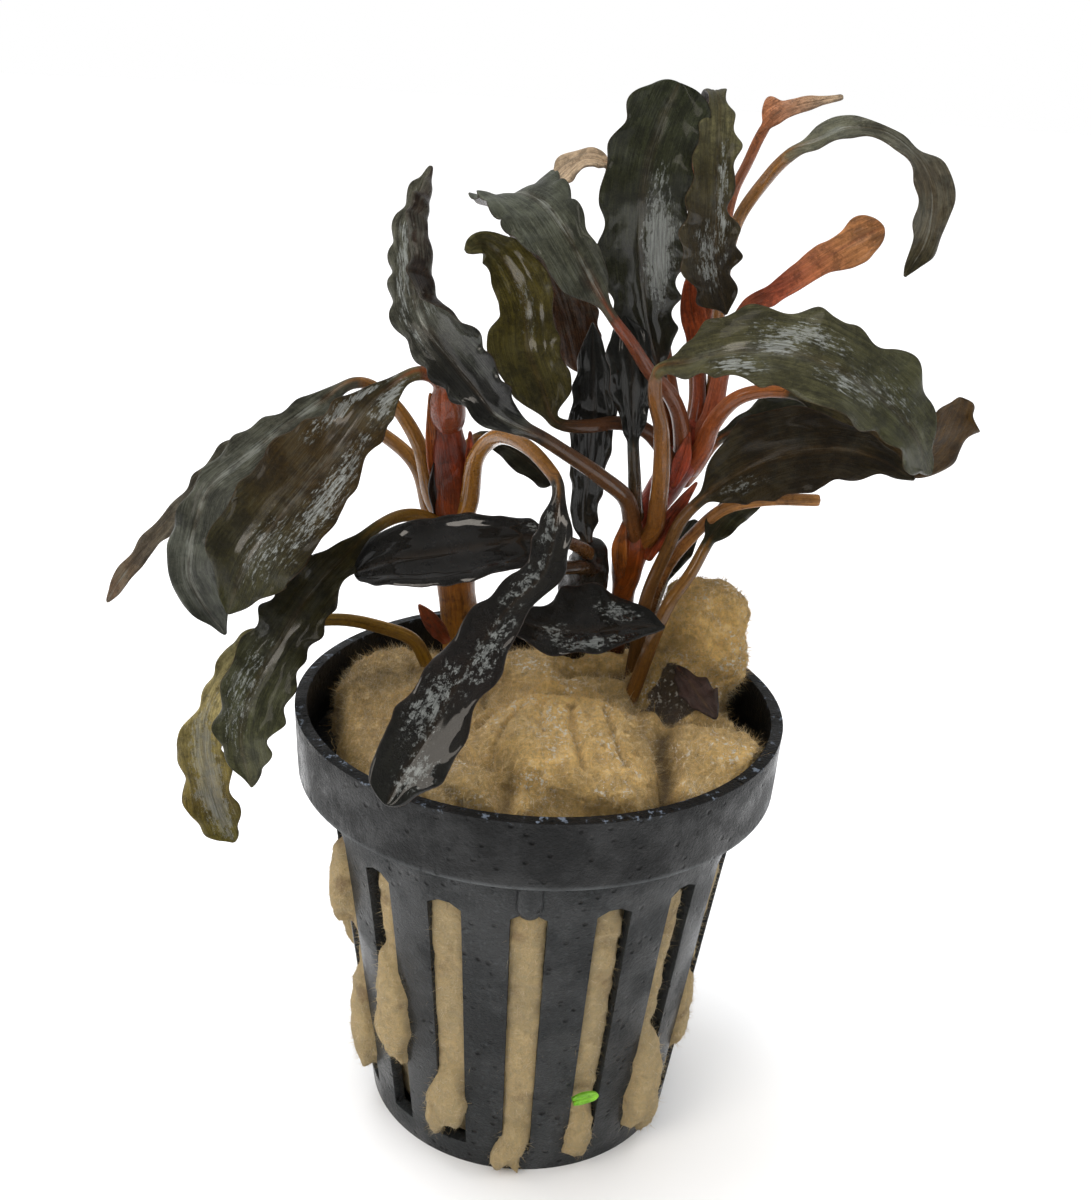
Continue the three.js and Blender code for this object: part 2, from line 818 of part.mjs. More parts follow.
      [10.5, 5, 56.5],
      [12, 4, 62],
      [13, 3, 65.5],
      [14.5, 2, 68],
      [18, 1, 71.5],
      [22.5, 0, 74],
      [27, -1, 75],
      [30.5, -2, 74.5],
      [34, -3, 73],
    ],
    right: [0.6, 2.9, 4.4, 4.6, 4, 2, 0.7],
    left: [0.6, 2.8, 4.6, 4.7, 2.8, 1.6, 0.7],
    face: [[0, -0.8, 0.6]],
  },
  leaf_right_inner: {
    look: "dark",
    stalk: 3,
    spine: [
      [15, 11.5, 69],
      [15.8, 11.5, 70.5],
      [17, 11.5, 72],
      [19.5, 11.5, 73.5],
      [23, 12, 75],
      [28.5, 13, 75.5],
      [34, 14, 74.5],
    ],
    right: [0.6, 1.8, 2.4, 2.2, 1.2],
    left: [0.6, 1.8, 2.4, 2.2, 1.2],
    rings: 6,
  },
  leaf_right_twisted: {
    look: "dark",
    stalk: 5,
    spine: [
      [15, 7.4, 72],
      [15.6, 6, 75],
      [17.5, 4.5, 78],
      [20, 4, 79],
      [22.5, 4, 79],
      [27.5, 5, 77.5],
      [32.5, 5.5, 74.5],
      [36, 4, 73],
      [37.5, 3, 75],
      [38, 2, 77.5],
      [38.5, 2, 80],
    ],
    right: [0.6, 2.4, 2.1, 2, 1.7],
    left: [0.6, 2.4, 2.1, 2, 1.7],
    face: [
      [0, -0.8, 0.6],
      [0.2, -0.9, 0.2],
      [0.4, -0.9, 0],
    ],
  },
  leaf_small_back: {
    look: "dark",
    stalk: 4,
    spine: [
      [9.6, 1.6, 47],
      [12.4, 1.6, 57],
      [14.5, 3, 60],
      [16, 4, 63],
      [17.5, 5.5, 65],
      [19.5, 7, 66.5],
      [22, 8.5, 68],
    ],
    right: [0.6, 1.6, 1.8, 1.4, 0.8],
    left: [0.6, 1.6, 1.8, 1.4, 0.8],
    rings: 6,
  },
  leaf_low_back: {
    look: "dark",
    stalk: 2,
    spine: [
      [10.6, 11.4, 47],
      [12.5, 11, 56],
      [13.5, 11.5, 58],
      [14.5, 11.5, 60.5],
      [15.5, 11.5, 63],
    ],
    right: [0.6, 1.2, 1.4, 0.8],
    left: [0.6, 1.2, 1.4, 0.8],
    rings: 6,
  },
  leaf_dark_centre: {
    look: "dark",
    stalk: 2,
    spine: [
      [3.6, 5.8, 63.3],
      [3.4, 5.3, 66],
      [3.5, 4.8, 69.3],
      [3.6, 4.6, 75.6],
      [3.3, 5, 80],
      [3, 5.6, 84.4],
    ],
    right: [0.8, 1.2, 1.8, 2.3, 2.2, 1.4, 0.5],
    left: [0.8, 1.2, 1.9, 2.4, 2.1, 1.3, 0.5],
    rings: 8,
  },
  leaf_dark_inner: {
    look: "dark",
    stalk: 4,
    spine: [
      [8.6, 5.2, 66],
      [8.3, 4, 68],
      [8, 3, 70.5],
      [7.7, 2.7, 73],
      [7.4, 2.5, 76.5],
      [7.2, 2.5, 79.5],
      [6.6, 3, 82.5],
      [6, 4, 85.5],
    ],
    right: [0.8, 1.8, 2.3, 2.4, 2.2, 1.8, 0.7],
    left: [0.8, 1.8, 2.3, 2.4, 2.2, 1.8, 0.7],
    rings: 8,
  },
  leaf_small_left: {
    look: "dark",
    stalk: 3,
    spine: [
      [-9.8, 14, 64],
      [-9.6, 15.6, 68],
      [-8, 16, 69.5],
      [-5.5, 15, 69],
      [-2.5, 14, 67.5],
      [0, 13, 65.5],
    ],
    right: [0.6, 1.4, 1.7, 1.2],
    left: [0.6, 1.4, 1.7, 1.2],
    rings: 7,
  },
  leaf_low_front: {
    look: "dark",
    stalk: 4,
    spine: [
      [3.2, 3.2, 60],
      [0.5, 1.2, 60.2],
      [-2.6, -1.4, 59],
      [-3.4, -3.4, 57.2],
      [0, -4.6, 56.2],
      [3.5, -4.5, 56.1],
      [7, -3.7, 56.2],
      [10, -2.5, 56.2],
      [12, -1.7, 56],
    ],
    right: [0.7, 2.2, 2.6, 2.6, 2, 1.2, 0.6],
    left: [0.7, 2.6, 4.8, 5.6, 4.9, 3.2, 0.6],
    face: [[0, -0.6, 0.8]],
    cup: 4,
    rings: 7,
  },
  leaf_young_sheath: {
    look: "red",
    stalk: 3,
    spine: [
      [14.3, 9.4, 75.5],
      [14.3, 9.5, 77.5],
      [14, 9.8, 79.5],
      [13.5, 10.3, 83],
      [12.8, 11, 85.5],
      [12.4, 11.6, 88.5],
    ],
    right: [0.7, 1.4, 1.8, 1.4, 0.6],
    left: [0.7, 1.4, 1.8, 1.4, 0.6],
    cup: 40,
    ruffle: [0.1, 2],
    rings: 6,
  },
};

// Small loose pieces, shaped as leaves with no stalk
const SCRAPS = {
  bud_scale: {
    look: "brown",
    stalk: 1,
    spine: [
      [-10.6, 10.4, 47.8],
      [-12, 9.4, 50.2],
      [-13.5, 8.6, 52.6],
    ],
    right: [0.9, 0.9, 0.5],
    left: [0.9, 0.9, 0.5],
    rings: 4,
  },
  dead_leaf_scrap: {
    look: "brown",
    stalk: 1,
    spine: [
      [14, 3.4, 49.5],
      [15.5, 0, 49],
      [16.5, -3, 48.5],
      [17.5, -5.6, 48.2],
    ],
    right: [0.5, 1.3, 1.9, 1.2, 0.5],
    left: [0.5, 0.9, 1.7, 1.8, 0.5],
    face: [[-0.3, -0.6, 0.8]],
    rings: 6,
  },
  duckweed_frond: {
    look: "green",
    stalk: 1,
    spine: [
      [5.6, -18.1, 10.6],
      [6.9, -17.8, 10.9],
      [8.2, -17.3, 10.9],
    ],
    right: [0.45, 0.6, 0.45],
    left: [0.45, 0.6, 0.45],
    face: [[0, -1, 0.2]],
    ruffle: [0, 1],
    rings: 4,
  },
};

// Assembly. A piece that comes later gives way to the earlier ones, and keeps the gap from them.

const plant = new THREE.Group();
const placed = [];

function place(name, look, body, grown) {
  let rest = body;
  for (const other of placed) rest = rest.subtract(other);
  const kept = largestBody(rest);
  const material = new THREE.MeshStandardMaterial({ metalness: 0, side: THREE.DoubleSide, ...LOOKS[look] });
  const mesh = new THREE.Mesh(geometryOf(kept), material);
  mesh.name = name;
  plant.add(mesh);
  placed.push(grown);
}

place("pot", "plastic", potSolid(0), potSolid(GAP));

for (const [name, stem] of Object.entries(STEMS)) {
  place(name, stem.look, stemSolid(stem, 0), stemSolid(stem, GAP));
}

for (const [name, leaf] of [...Object.entries(LEAVES), ...Object.entries(SCRAPS)]) {
  place(name, leaf.look, leafSolid(leaf, 0), leafSolid(leaf, GAP));
}

const onPlug = (each) => ({ flat: PLUG_TOP + CLEAR, ...each });
const wads = (lumps, grow) => lumps.map((each) => lump(onPlug(each), grow)).reduce((all, next) => all.add(next));

for (const [name, lumps] of Object.entries(WADS)) {
  const dented = name === "wool_wad_right" ? wads(lumps, 0).subtract(lump(HOLLOW, 0)) : wads(lumps, 0);
  place(name, "wool", dented, wads(lumps, GAP));
}

place("wool_plug", "wool", plugSolid(), plugSolid());

export default plant;
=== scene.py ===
"""Potted bucephalandra: a small aquarium plant in a slotted net pot, held in place by rock wool."""

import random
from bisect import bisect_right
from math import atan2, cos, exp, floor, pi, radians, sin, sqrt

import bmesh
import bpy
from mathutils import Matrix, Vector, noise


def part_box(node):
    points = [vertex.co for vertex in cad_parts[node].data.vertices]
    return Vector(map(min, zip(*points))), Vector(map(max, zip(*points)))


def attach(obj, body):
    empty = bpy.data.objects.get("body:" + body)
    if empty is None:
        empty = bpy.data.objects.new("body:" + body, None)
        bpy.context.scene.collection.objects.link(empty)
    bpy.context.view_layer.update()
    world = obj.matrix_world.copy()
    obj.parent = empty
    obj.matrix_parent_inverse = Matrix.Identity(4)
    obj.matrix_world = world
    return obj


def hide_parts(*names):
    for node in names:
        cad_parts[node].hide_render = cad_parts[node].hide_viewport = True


bl_info = {
    "name": "Potted bucephalandra",
    "version": (1, 0, 0),
    "blender": (4, 5, 0),
    "location": "3D View > Sidebar > Plant",
    "description": "Builds a potted bucephalandra around its fixed frame, piece by piece",
    "category": "Add Mesh",
}

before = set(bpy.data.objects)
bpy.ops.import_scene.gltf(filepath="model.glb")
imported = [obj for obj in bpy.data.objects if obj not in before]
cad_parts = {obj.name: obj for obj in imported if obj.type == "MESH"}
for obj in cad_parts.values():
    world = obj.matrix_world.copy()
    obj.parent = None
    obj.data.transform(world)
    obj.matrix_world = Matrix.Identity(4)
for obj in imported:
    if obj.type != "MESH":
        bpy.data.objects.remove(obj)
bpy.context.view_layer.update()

MM = 0.001  # the tables are in millimetres and degrees, and the settings, finishes and stage in metres
POT_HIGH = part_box("pot")[1]


# Colours and small sums


def paint(code):
    """A display colour such as 0x8C3D22 as the linear colour that Blender works in."""
    parts = [((code >> shift) & 255) / 255 for shift in (16, 8, 0)]
    return tuple(c / 12.92 if c <= 0.04045 else ((c + 0.055) / 1.055) ** 2.4 for c in parts) + (1.0,)


def along(values, t):
    """The value at t, from 0 to 1, of a list of evenly spread numbers or colours."""
    x = min(max(t, 0.0), 1.0) * (len(values) - 1)
    i = min(int(x), max(len(values) - 2, 0))
    a, b, share = values[i], values[min(i + 1, len(values) - 1)], x - i
    if isinstance(a, (int, float)):
        return a + (b - a) * share
    return tuple(p + (q - p) * share for p, q in zip(a, b))


def rounded(values, t):
    """As along, but on a smooth curve through the numbers."""
    last = len(values) - 1
    x = min(max(t, 0.0), 1.0) * last
    i = min(int(x), max(last - 1, 0))
    u = x - i
    p = [values[min(max(k, 0), last)] for k in range(i - 1, i + 3)]
    return 0.5 * (
        2 * p[1]
        + (p[2] - p[0]) * u
        + (2 * p[0] - 5 * p[1] + 4 * p[2] - p[3]) * u * u
        + (3 * p[1] - p[0] - 3 * p[2] + p[3]) * u**3
    )


def eased(value, low, high):
    """0 below low, 1 above high, and a soft step between."""
    t = min(max((value - low) / (high - low), 0.0), 1.0)
    return t * t * (3 - 2 * t)


def ripple(*point):
    """Smooth noise from about -1 to 1 that is the same in each run."""
    return noise.noise(Vector(point))


class Spine:
    """A smooth line through points, measured by the share of its length."""

    STEPS = 40

    def __init__(self, points):
        points = [Vector(p) for p in points]
        ends = [2 * points[0] - points[1], *points, 2 * points[-1] - points[-2]]
        self.points = []
        for i in range(1, len(ends) - 2):
            p = ends[i - 1 : i + 3]
            gap = [max((b - a).length, 1e-6) ** 0.5 for a, b in zip(p, p[1:])]
            leave = (p[1] - p[0]) / gap[0] - (p[2] - p[0]) / (gap[0] + gap[1]) + (p[2] - p[1]) / gap[1]
            arrive = (p[2] - p[1]) / gap[1] - (p[3] - p[1]) / (gap[1] + gap[2]) + (p[3] - p[2]) / gap[2]
            leave, arrive = leave * gap[1], arrive * gap[1]
            for k in range(self.STEPS):
                u = k / self.STEPS
                self.points.append(
                    p[1]
                    + leave * u
                    + (3 * (p[2] - p[1]) - 2 * leave - arrive) * u * u
                    + (2 * (p[1] - p[2]) + leave + arrive) * u**3
                )
        self.points.append(points[-1])
        self.lengths = [0.0]
        for a, b in zip(self.points, self.points[1:]):
            self.lengths.append(self.lengths[-1] + (b - a).length)
        self.length = self.lengths[-1]

    def share_at(self, index):
        """The share of the length at one of the points that the line was made from."""
        return self.lengths[index * self.STEPS] / self.length

    def at(self, share):
        """The point and the direction at a share of the length."""
        target = min(max(share, 0.0), 1.0) * self.length
        low = min(bisect_right(self.lengths, target) - 1, len(self.lengths) - 2)
        high = low + 1
        a, b = self.points[low], self.points[high]
        u = (target - self.lengths[low]) / max(self.lengths[high] - self.lengths[low], 1e-9)
        before = self.points[max(low - 3, 0)]
        after = self.points[min(high + 3, len(self.points) - 1)]
        return a.lerp(b, u), (after - before).normalized()


# Materials


class Wire:
    """A node's output that ordinary sums act on."""

    def __init__(self, nodes, socket):
        self.nodes = nodes
        self.socket = socket

    def __add__(self, other):
        return self.nodes.maths("ADD", self, other)

    __radd__ = __add__

    def __sub__(self, other):
        return self.nodes.maths("SUBTRACT", self, other)

    def __rsub__(self, other):
        return self.nodes.maths("SUBTRACT", other, self)

    def __mul__(self, other):
        return self.nodes.maths("MULTIPLY", self, other)

    __rmul__ = __mul__


class Nodes:
    """The nodes of a material or of the world."""

    def __init__(self, tree):
        self.tree = tree

    def feed(self, socket, value):
        """Links a Wire to a socket or sets the socket to a value."""
        if isinstance(value, Wire):
            self.tree.links.new(value.socket, socket)
        else:
            socket.default_value = value[:3] if socket.type == "VECTOR" else value

    def node(self, kind, settings=None, sockets=None, out=0):
        """A node with its settings made first and then its sockets filled, as the Wire of one output."""
        made = self.tree.nodes.new(kind)
        for name, value in (settings or {}).items():
            setattr(made, name, value)
        for name, value in (sockets or {}).items():
            self.feed(made.inputs[name], value)
        return Wire(self, made.outputs[out])

    def maths(self, operation, a, b):
        return self.node("ShaderNodeMath", {"operation": operation}, {0: a, 1: b})

    def ramp(self, value, low, high, bottom=0.0, top=1.0, kind="SMOOTHSTEP"):
        """bottom where the value is under low, top where it is over high, and a slope between."""
        sockets = {"Value": value, "From Min": low, "From Max": high, "To Min": bottom, "To Max": top}
        return self.node("ShaderNodeMapRange", {"interpolation_type": kind}, sockets)


class Finish(Nodes):
    """The nodes of one material."""

    def __init__(self, name, **constants):
        self.material = bpy.data.materials.new(name)
        self.material.use_nodes = True
        super().__init__(self.material.node_tree)
        self.tree.nodes.clear()
        output = self.tree.nodes.new("ShaderNodeOutputMaterial")
        self.surface = self.tree.nodes.new("ShaderNodeBsdfPrincipled")
        self.tree.links.new(self.surface.outputs[0], output.inputs[0])
        for socket, value in constants.items():
            self.surface.inputs[socket.replace("_", " ")].default_value = value
        self.place = self.node("ShaderNodeTexCoord", out="Object")

    def attribute(self, name, out="Fac"):
        return self.node("ShaderNodeAttribute", {"attribute_name": name}, out=out)

    def height(self):
        """Height over the pot's foot, in metres."""
        return self.node("ShaderNodeSeparateXYZ", None, {0: self.place}, out=2)

    def grain(self, vector, scale, detail=4.0, rough=0.55, warp=0.0):
        """Smooth noise of so many spots a metre. Three numbers as the scale stretch it."""
        if isinstance(scale, tuple):
            vector = self.node("ShaderNodeMapping", None, {"Vector": vector, "Scale": scale})
            scale = 1.0
        sockets = {"Vector": vector, "Scale": scale, "Detail": detail, "Roughness": rough, "Distortion": warp}
        return self.node("ShaderNodeTexNoise", None, sockets)

    def clear(self, *place_and_kind):
        """Grain with its contrast raised to run from 0 to 1."""
        return self.ramp(self.grain(*place_and_kind), 0.32, 0.68)

    def mixed(self, share, a, b, blend="MIX"):
        settings = {"data_type": "RGBA", "blend_type": blend}
        return self.node("ShaderNodeMix", settings, {0: share, 6: a, 7: b}, out=2)

    def scaled(self, colour, factor):
        """A colour made lighter or darker by a number that changes over the surface."""
        settings = {"operation": "SCALE"}
        return self.node("ShaderNodeVectorMath", settings, {0: colour, "Scale": factor})

    def raised(self, height, distance):
        """A bump whose height of 1 stands for a distance in metres."""
        return self.node("ShaderNodeBump", None, {"Height": height, "Distance": distance, "Strength": 1.0})

    def coat(self, **sockets):
        """Fills the surface's sockets with what changes over it."""
        for name, value in sockets.items():
            self.feed(self.surface.inputs[name.replace("_", " ")], value)
        return self.material


# Mesh helpers


def finished(name, mesh_edit, material):
    """Puts a bmesh in the scene as a piece that rides on the frame and takes the place of its node."""
    mesh = bpy.data.meshes.new(name)
    mesh_edit.to_mesh(mesh)
    mesh_edit.free()
    for face in mesh.polygons:
        face.use_smooth = True
    mesh.materials.append(material)
    piece = bpy.data.objects.new(name + "_looks", mesh)
    bpy.context.scene.collection.objects.link(piece)
    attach(piece, "root")
    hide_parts(name)
    return piece


def rounded_off(piece):
    """Gives a piece a live subdivision, the same on screen and in a render."""
    made = piece.modifiers.new("rounding", "SUBSURF")
    made.levels = 1
    made.render_levels = 1


def long_tube(sides, rings):
    """A closed cylinder of radius 1 whose rings lie at z = 0, 1, 2 and so on."""
    made = bmesh.new()
    bmesh.ops.create_cone(made, cap_ends=True, segments=sides, radius1=1, radius2=1, depth=1)
    lengthwise = [e for e in made.edges if abs(e.verts[0].co.z - e.verts[1].co.z) > 0.5]
    bmesh.ops.subdivide_edges(made, edges=lengthwise, cuts=rings - 1, use_grid_fill=True)
    for vertex in made.verts:
        vertex.co.z = (vertex.co.z + 0.5) * rings
    return made


# Pot

WALL_SLOTS = 16
SLOT_PITCH = 360 / WALL_SLOTS
PITCH_STEPS, SLOT_STEPS = 7, 3  # columns of faces from one slot to the next, and in a slot
POT_STEPS = PITCH_STEPS * WALL_SLOTS
STEP_TURN = 360 / POT_STEPS
SLOT_TURN = -89.5  # the middle of the front slot
SLOT_FROM, SLOT_TO = 2.8, 34.5
DRAIN_PITCH, DRAIN_STEPS = 14, (5, 6, 7)
DRAIN_FROM, DRAIN_TO = 6.5, 13.5
BAND_FOOT = 39.6
BASE_RADIUS, BODY_RADIUS, BAND_RADIUS = 16.7, 21.7, 24.6
RIBS, RIB_RADIUS = 4, 1.3
SLOT_SHOULDER = 0.6  # how much lower a slot's top corners lie than its middle
SHARP_TURN = 38  # edges that turn more than this are rounded


def body_radius(z):
    """The wall's outside radius at a height."""
    return BASE_RADIUS + (BODY_RADIUS - BASE_RADIUS) * z / BAND_FOOT


def pot_profile(rim_radius, height):
    """The outside of the pot from the middle of its floor to its lip, as radius and height."""
    floor = [(r, 0) for r in (0, 3.2, DRAIN_FROM, 10, DRAIN_TO, 15.4)]
    wall = [(body_radius(z), z) for z in (0, SLOT_FROM, 9, 15.5, 22, 28.5, SLOT_TO, 37, BAND_FOOT)]
    band = [(BAND_RADIUS - 1.4, BAND_FOOT), (BAND_RADIUS, BAND_FOOT), (BAND_RADIUS + 0.1, 41.5)]
    return floor + wall + band + [(rim_radius - 0.1, height - 2), (rim_radius, height)]


def column_of(point):
    """Which of the pot's columns of faces a point lies in, counted from the front slot's left edge."""
    turn = (atan2(point.y, point.x) * 180 / pi - SLOT_TURN) / STEP_TURN + SLOT_STEPS / 2
    return floor(turn) % POT_STEPS


def open_face(face):
    """True where a slot or a drain hole leaves the wall open."""
    middle = face.calc_center_median() / MM
    radius = middle.to_2d().length
    column = column_of(middle)
    if SLOT_FROM < middle.z < SLOT_TO:
        return column % PITCH_STEPS < SLOT_STEPS
    if middle.z < 0.1 and DRAIN_FROM < radius < DRAIN_TO:
        return column % DRAIN_PITCH in DRAIN_STEPS
    return False


def pot_rib(shell, turn, foot, radius):
    """A moulded rib under the band, with a round foot."""
    made = bmesh.ops.create_uvsphere(shell, u_segments=20, v_segments=12, radius=radius * MM)["verts"]
    for vertex in made:
        if vertex.co.z > 0.1 * MM:
            vertex.co.z += (BAND_FOOT + 0.3 - foot - 2 * radius) * MM
        vertex.co.z += (foot + radius) * MM
    out = (BODY_RADIUS - 0.55) * MM
    bmesh.ops.translate(shell, verts=made, vec=(out, 0, 0))
    bmesh.ops.rotate(shell, verts=made, cent=(0, 0, 0), matrix=Matrix.Rotation(turn, 3, "Z"))


def pot_finish(colour):
    """Wet black plastic with small pits. Painted shade darkens the pits and the band, painted light brightens
    the wall towards the foot, a painted highlight runs along the band's lower edge and painted glints of
    water sit on the lip.
    """
    finish = Finish("wet black plastic", Specular_IOR_Level=0.22, Coat_Roughness=0.1)
    spot, height = finish.place, finish.height()
    cloud = finish.clear(spot, 160.0, 6.0, 0.65)
    speck = finish.clear(spot, 2600.0, 4.0, 0.75)
    runs = finish.clear(spot, (700.0, 700.0, 110.0), 4.0, 0.6)
    cells = finish.node("ShaderNodeTexVoronoi", {"feature": "F1"}, {"Vector": spot, "Scale": 800.0})
    sown = finish.ramp(finish.grain(spot, 380.0, 3.0), 0.44, 0.56)
    # the pits are darkened in colour as well as sunk in the bump: painted shade in the pits
    hollow = (1 - finish.ramp(cells, 0.08, 0.3)) * sown
    wet = finish.ramp(finish.grain(spot, 120.0, 5.0, 0.7), 0.42, 0.6)
    # painted shade on the band and painted light on the wall towards the foot, set by height
    band = finish.ramp(height, 0.0385, 0.0405, 1.35, 0.38) * finish.ramp(height, 0.004, 0.018, 1.4, 1.0)
    dark = finish.scaled(colour, (0.45 + cloud * 0.25 + speck * 0.4 + runs * 0.15 - hollow * 0.7) * band)
    dusty = finish.mixed(finish.ramp(speck, 0.75, 1.0) * 0.22 * band, dark, paint(0x4C5052))
    # painted glints of water: light bluish dots mixed into the colour just under the rim
    painted_glints_on_lip = finish.ramp(finish.grain(spot, 900.0, 4.0, 0.7), 0.58, 0.63)
    lip = finish.mixed(painted_glints_on_lip * finish.ramp(height, 0.0462, 0.0466) * 0.5, dusty, paint(0x828E9E))
    # painted highlight: a pale line along the rounded lower edge of the band
    painted_edge_highlight = finish.ramp(height, 0.0391, 0.0394) * (1 - finish.ramp(height, 0.0396, 0.0401))
    with_edge_highlight = finish.mixed(painted_edge_highlight * (0.2 + cloud * 0.3), lip, paint(0x6C7072))
    relief = speck * 0.9 + cloud * 0.2 + runs * 0.3 - hollow * 3.6
    return finish.coat(
        Base_Color=with_edge_highlight,
        Roughness=0.4 - wet * 0.14 + speck * 0.12,
        Coat_Weight=wet * 0.25,
        Normal=finish.raised(relief, 0.00009),
    )


# Rock wool

PLUG_TOP = 40
WAD_REACH = 23  # the wads keep inside the pot's lip
WAD_GAP = 0.2  # between the plug and the wads on it
CREASE_FLOOR = PLUG_TOP + 0.7  # a crease goes no deeper
FLUSH = 0.12  # how far the wool in a slot lies behind the wall's outside
PLUG_INSET, PLUG_FOOT = 1.7, 1.8  # the plug's core lies so far inside the wall and over the ground
PLUG_SKIN = 0.9  # the plug's fibres grow this near to the wall's outside
PLUG_STEP, PLUG_FIBRE = 1.3, 0.7  # the plug's mesh step and fibre length as shares of a wad's
PLUG_SEED, PLUG_FIBRE_SEED = 3, 11
FIBRE_PARTS = 3  # pieces that a fibre is bent in
FIBRE_FLOOR = PLUG_TOP + 1.5  # the loose fibres of a wad stand above this height

# Lumps that each piece of wool is heaped from: middle, half sizes, turn in degrees, boxiness and top
WADS = {
    "wool_wad_left": [
        {"at": (-13.2, 0.5, 42.3), "size": (7.6, 14, 3.6), "turn": 6, "power": 0.5, "top": 45.6},
        {"at": (-19, 1.5, 42), "size": (2.7, 8, 2.8), "turn": 10, "power": 0.7},
    ],
    "wool_wad_front": [
        {"at": (3, -9.5, 43), "size": (9.8, 10.6, 7), "turn": -8, "power": 0.75},
        {"at": (-4.5, -14, 42.4), "size": (6.3, 6.8, 5), "turn": 30, "power": 0.7},
        {"at": (4, 5, 43), "size": (9.8, 8.8, 5.4), "turn": 20, "power": 0.7},
    ],
    "wool_wad_right": [
        {"at": (14.6, -6, 42.6), "size": (7.2, 10.4, 4.6), "turn": 28, "power": 0.65},
        {"at": (14.5, 7.5, 44), "size": (5.8, 6.8, 6.3), "turn": -20, "power": 0.75},
        {"at": (16.6, 6.4, 51.4), "size": (5, 3.4, 7), "turn": -15, "power": 0.8, "bump": 0.05},
    ],
}
HOLLOW = {"at": (13.2, -0.2, 48.8), "size": (3.4, 3.4, 4.4)}
FAN = (3, -5)  # where the folds of the front wad spread from
# Deep creases: half width, depth, strength of the painted shade laid in them and the line that each one
# follows, seen from above. Some are there for their painted shade: under the low front leaf, left of the dead
# scrap and in the gap by the left wall.
CREASES = {
    "wool_wad_front": [
        (1.3, 3.0, 1.0, [(10.9, 2.6), (11.2, -1.5), (12.3, -5), (12, -7)]),
        (1.2, 2.8, 0.6, [(12, -7), (12.6, -12), (11.6, -19)]),
        (1.1, 2.2, 0.7, [(-8.5, -9), (-5, -5.5), (-1, -3.6), (3, -3), (8, -3.2), (11, -4)]),
        (0.4, 1.0, 0.5, [(-2, -8), (-3.4, -12), (-4.6, -15)]),
        (0.3, 0.7, 0.35, [(0.4, -6.5), (0, -10.5), (0.6, -13)]),
        (0.35, 0.8, 0.4, [(3.2, -7), (3.2, -12), (4.4, -17)]),
        (0.4, 1.0, 0.5, [(6.2, -7), (7.4, -12), (8.6, -15)]),
        (1.3, 2.6, 1.0, [(3.6, 5.4), (8, 5), (12, 4.6)]),
        (0.9, 1.8, 0.5, [(-9.5, -10.5), (-6, -13.6), (-2.6, -15.6), (-2.4, -21)]),
    ],
    "wool_wad_right": [
        (1.2, 2.6, 0.7, [(12.6, -5), (12, -8), (12.6, -12), (11.6, -19)]),
        (0.9, 1.6, 0.7, [(13, -3), (16.5, -4.5), (20, -3)]),
    ],
    "wool_wad_left": [
        (1.7, 6.5, 1.0, [(-22.4, -3), (-20.8, -6.4), (-19.2, -10.4), (-17.2, -15)]),
        (0.8, 1.6, 0.7, [(-21.6, 3.6), (-21, 0.4), (-20.4, -3)]),
    ],
}

# Wool that hangs or swells out of a slot: the slot counted from the front one to the right, height of its
# middle, half width, half height, how far it stands out and how far its foot leans to the right
SWELLS = [
    (-4, 22, 2.1, 6, 1.4, 0.4),
    (-3, 29, 2.2, 4.4, 2.2, -0.6),
    (-3, 11, 2.4, 6.5, 2.2, -0.5),
    (-2, 18, 2.2, 7, 2.2, 0.7),
    (-1, 8.6, 2.0, 4.4, 1.9, -1.0),
    (0, 3.6, 1.9, 2.7, 1.5, -1.0),
    (1, 4.6, 1.7, 3.4, 1.4, -0.7),
    (2, 9.5, 2.3, 6.8, 2.3, 0.4),
    (3, 14, 1.8, 5, 1.0, 0.3),
    (5, 9, 2, 4, 1.4, 0.5),
    (7, 22, 1.9, 5, 1.2, -0.4),
    (9, 6, 2.2, 3.5, 1.6, 0.6),
]
# How the wool stands in a slot where it does not fill all of it: shift, half width and foot
SLOT_FILL = {
    -3: (0.2, 1.9, 4),
    -2: (0.6, 1.75, 10),
    -1: (0, 2.3, 6.5),
    1: (-0.35, 1.9, SLOT_FROM),
    2: (-0.6, 1.65, SLOT_FROM),
    3: (-0.3, 1.8, SLOT_FROM),
}


def ball(heap):
    """The points of a new fine ball of radius 1."""
    return bmesh.ops.create_icosphere(heap, subdivisions=5, radius=1)["verts"]


def boxy(point, power):
    """A point of the ball moved towards a box's, the more so the smaller the power."""
    return [(1 if c > 0 else -1) * abs(c) ** power for c in point]


def at_slot(index):
    """The turn to a slot, counted from the front one to the right."""
    return Matrix.Rotation(radians(SLOT_TURN + SLOT_PITCH * index), 3, "Z")


def add_lump(heap, at, size, turn=0, power=0.75, bump=0.06, top=None):
    """A rounded heap of wool that lies on the plug and keeps inside the lip."""
    spin = Matrix.Rotation(radians(turn), 3, "Z")
    for vertex in ball(heap):
        p = vertex.co
        wobble = (
            1
            + bump * sin(5.1 * p.x + at[0]) * cos(4.3 * p.y + at[1])
            + bump * sin(6.7 * p.z + 3.9 * p.x + at[1])
        )
        p = Vector([c * wobble for c in boxy(p, power)])
        p = spin @ Vector([c * half for c, half in zip(p, size)]) + Vector(at)
        if top:
            p.z = min(p.z, top + 0.03 * p.x)
        p.z = max(p.z, PLUG_TOP + WAD_GAP)
        reach = p.to_2d().length
        if reach > WAD_REACH:
            p.x, p.y = p.x * WAD_REACH / reach, p.y * WAD_REACH / reach
        vertex.co = p * MM


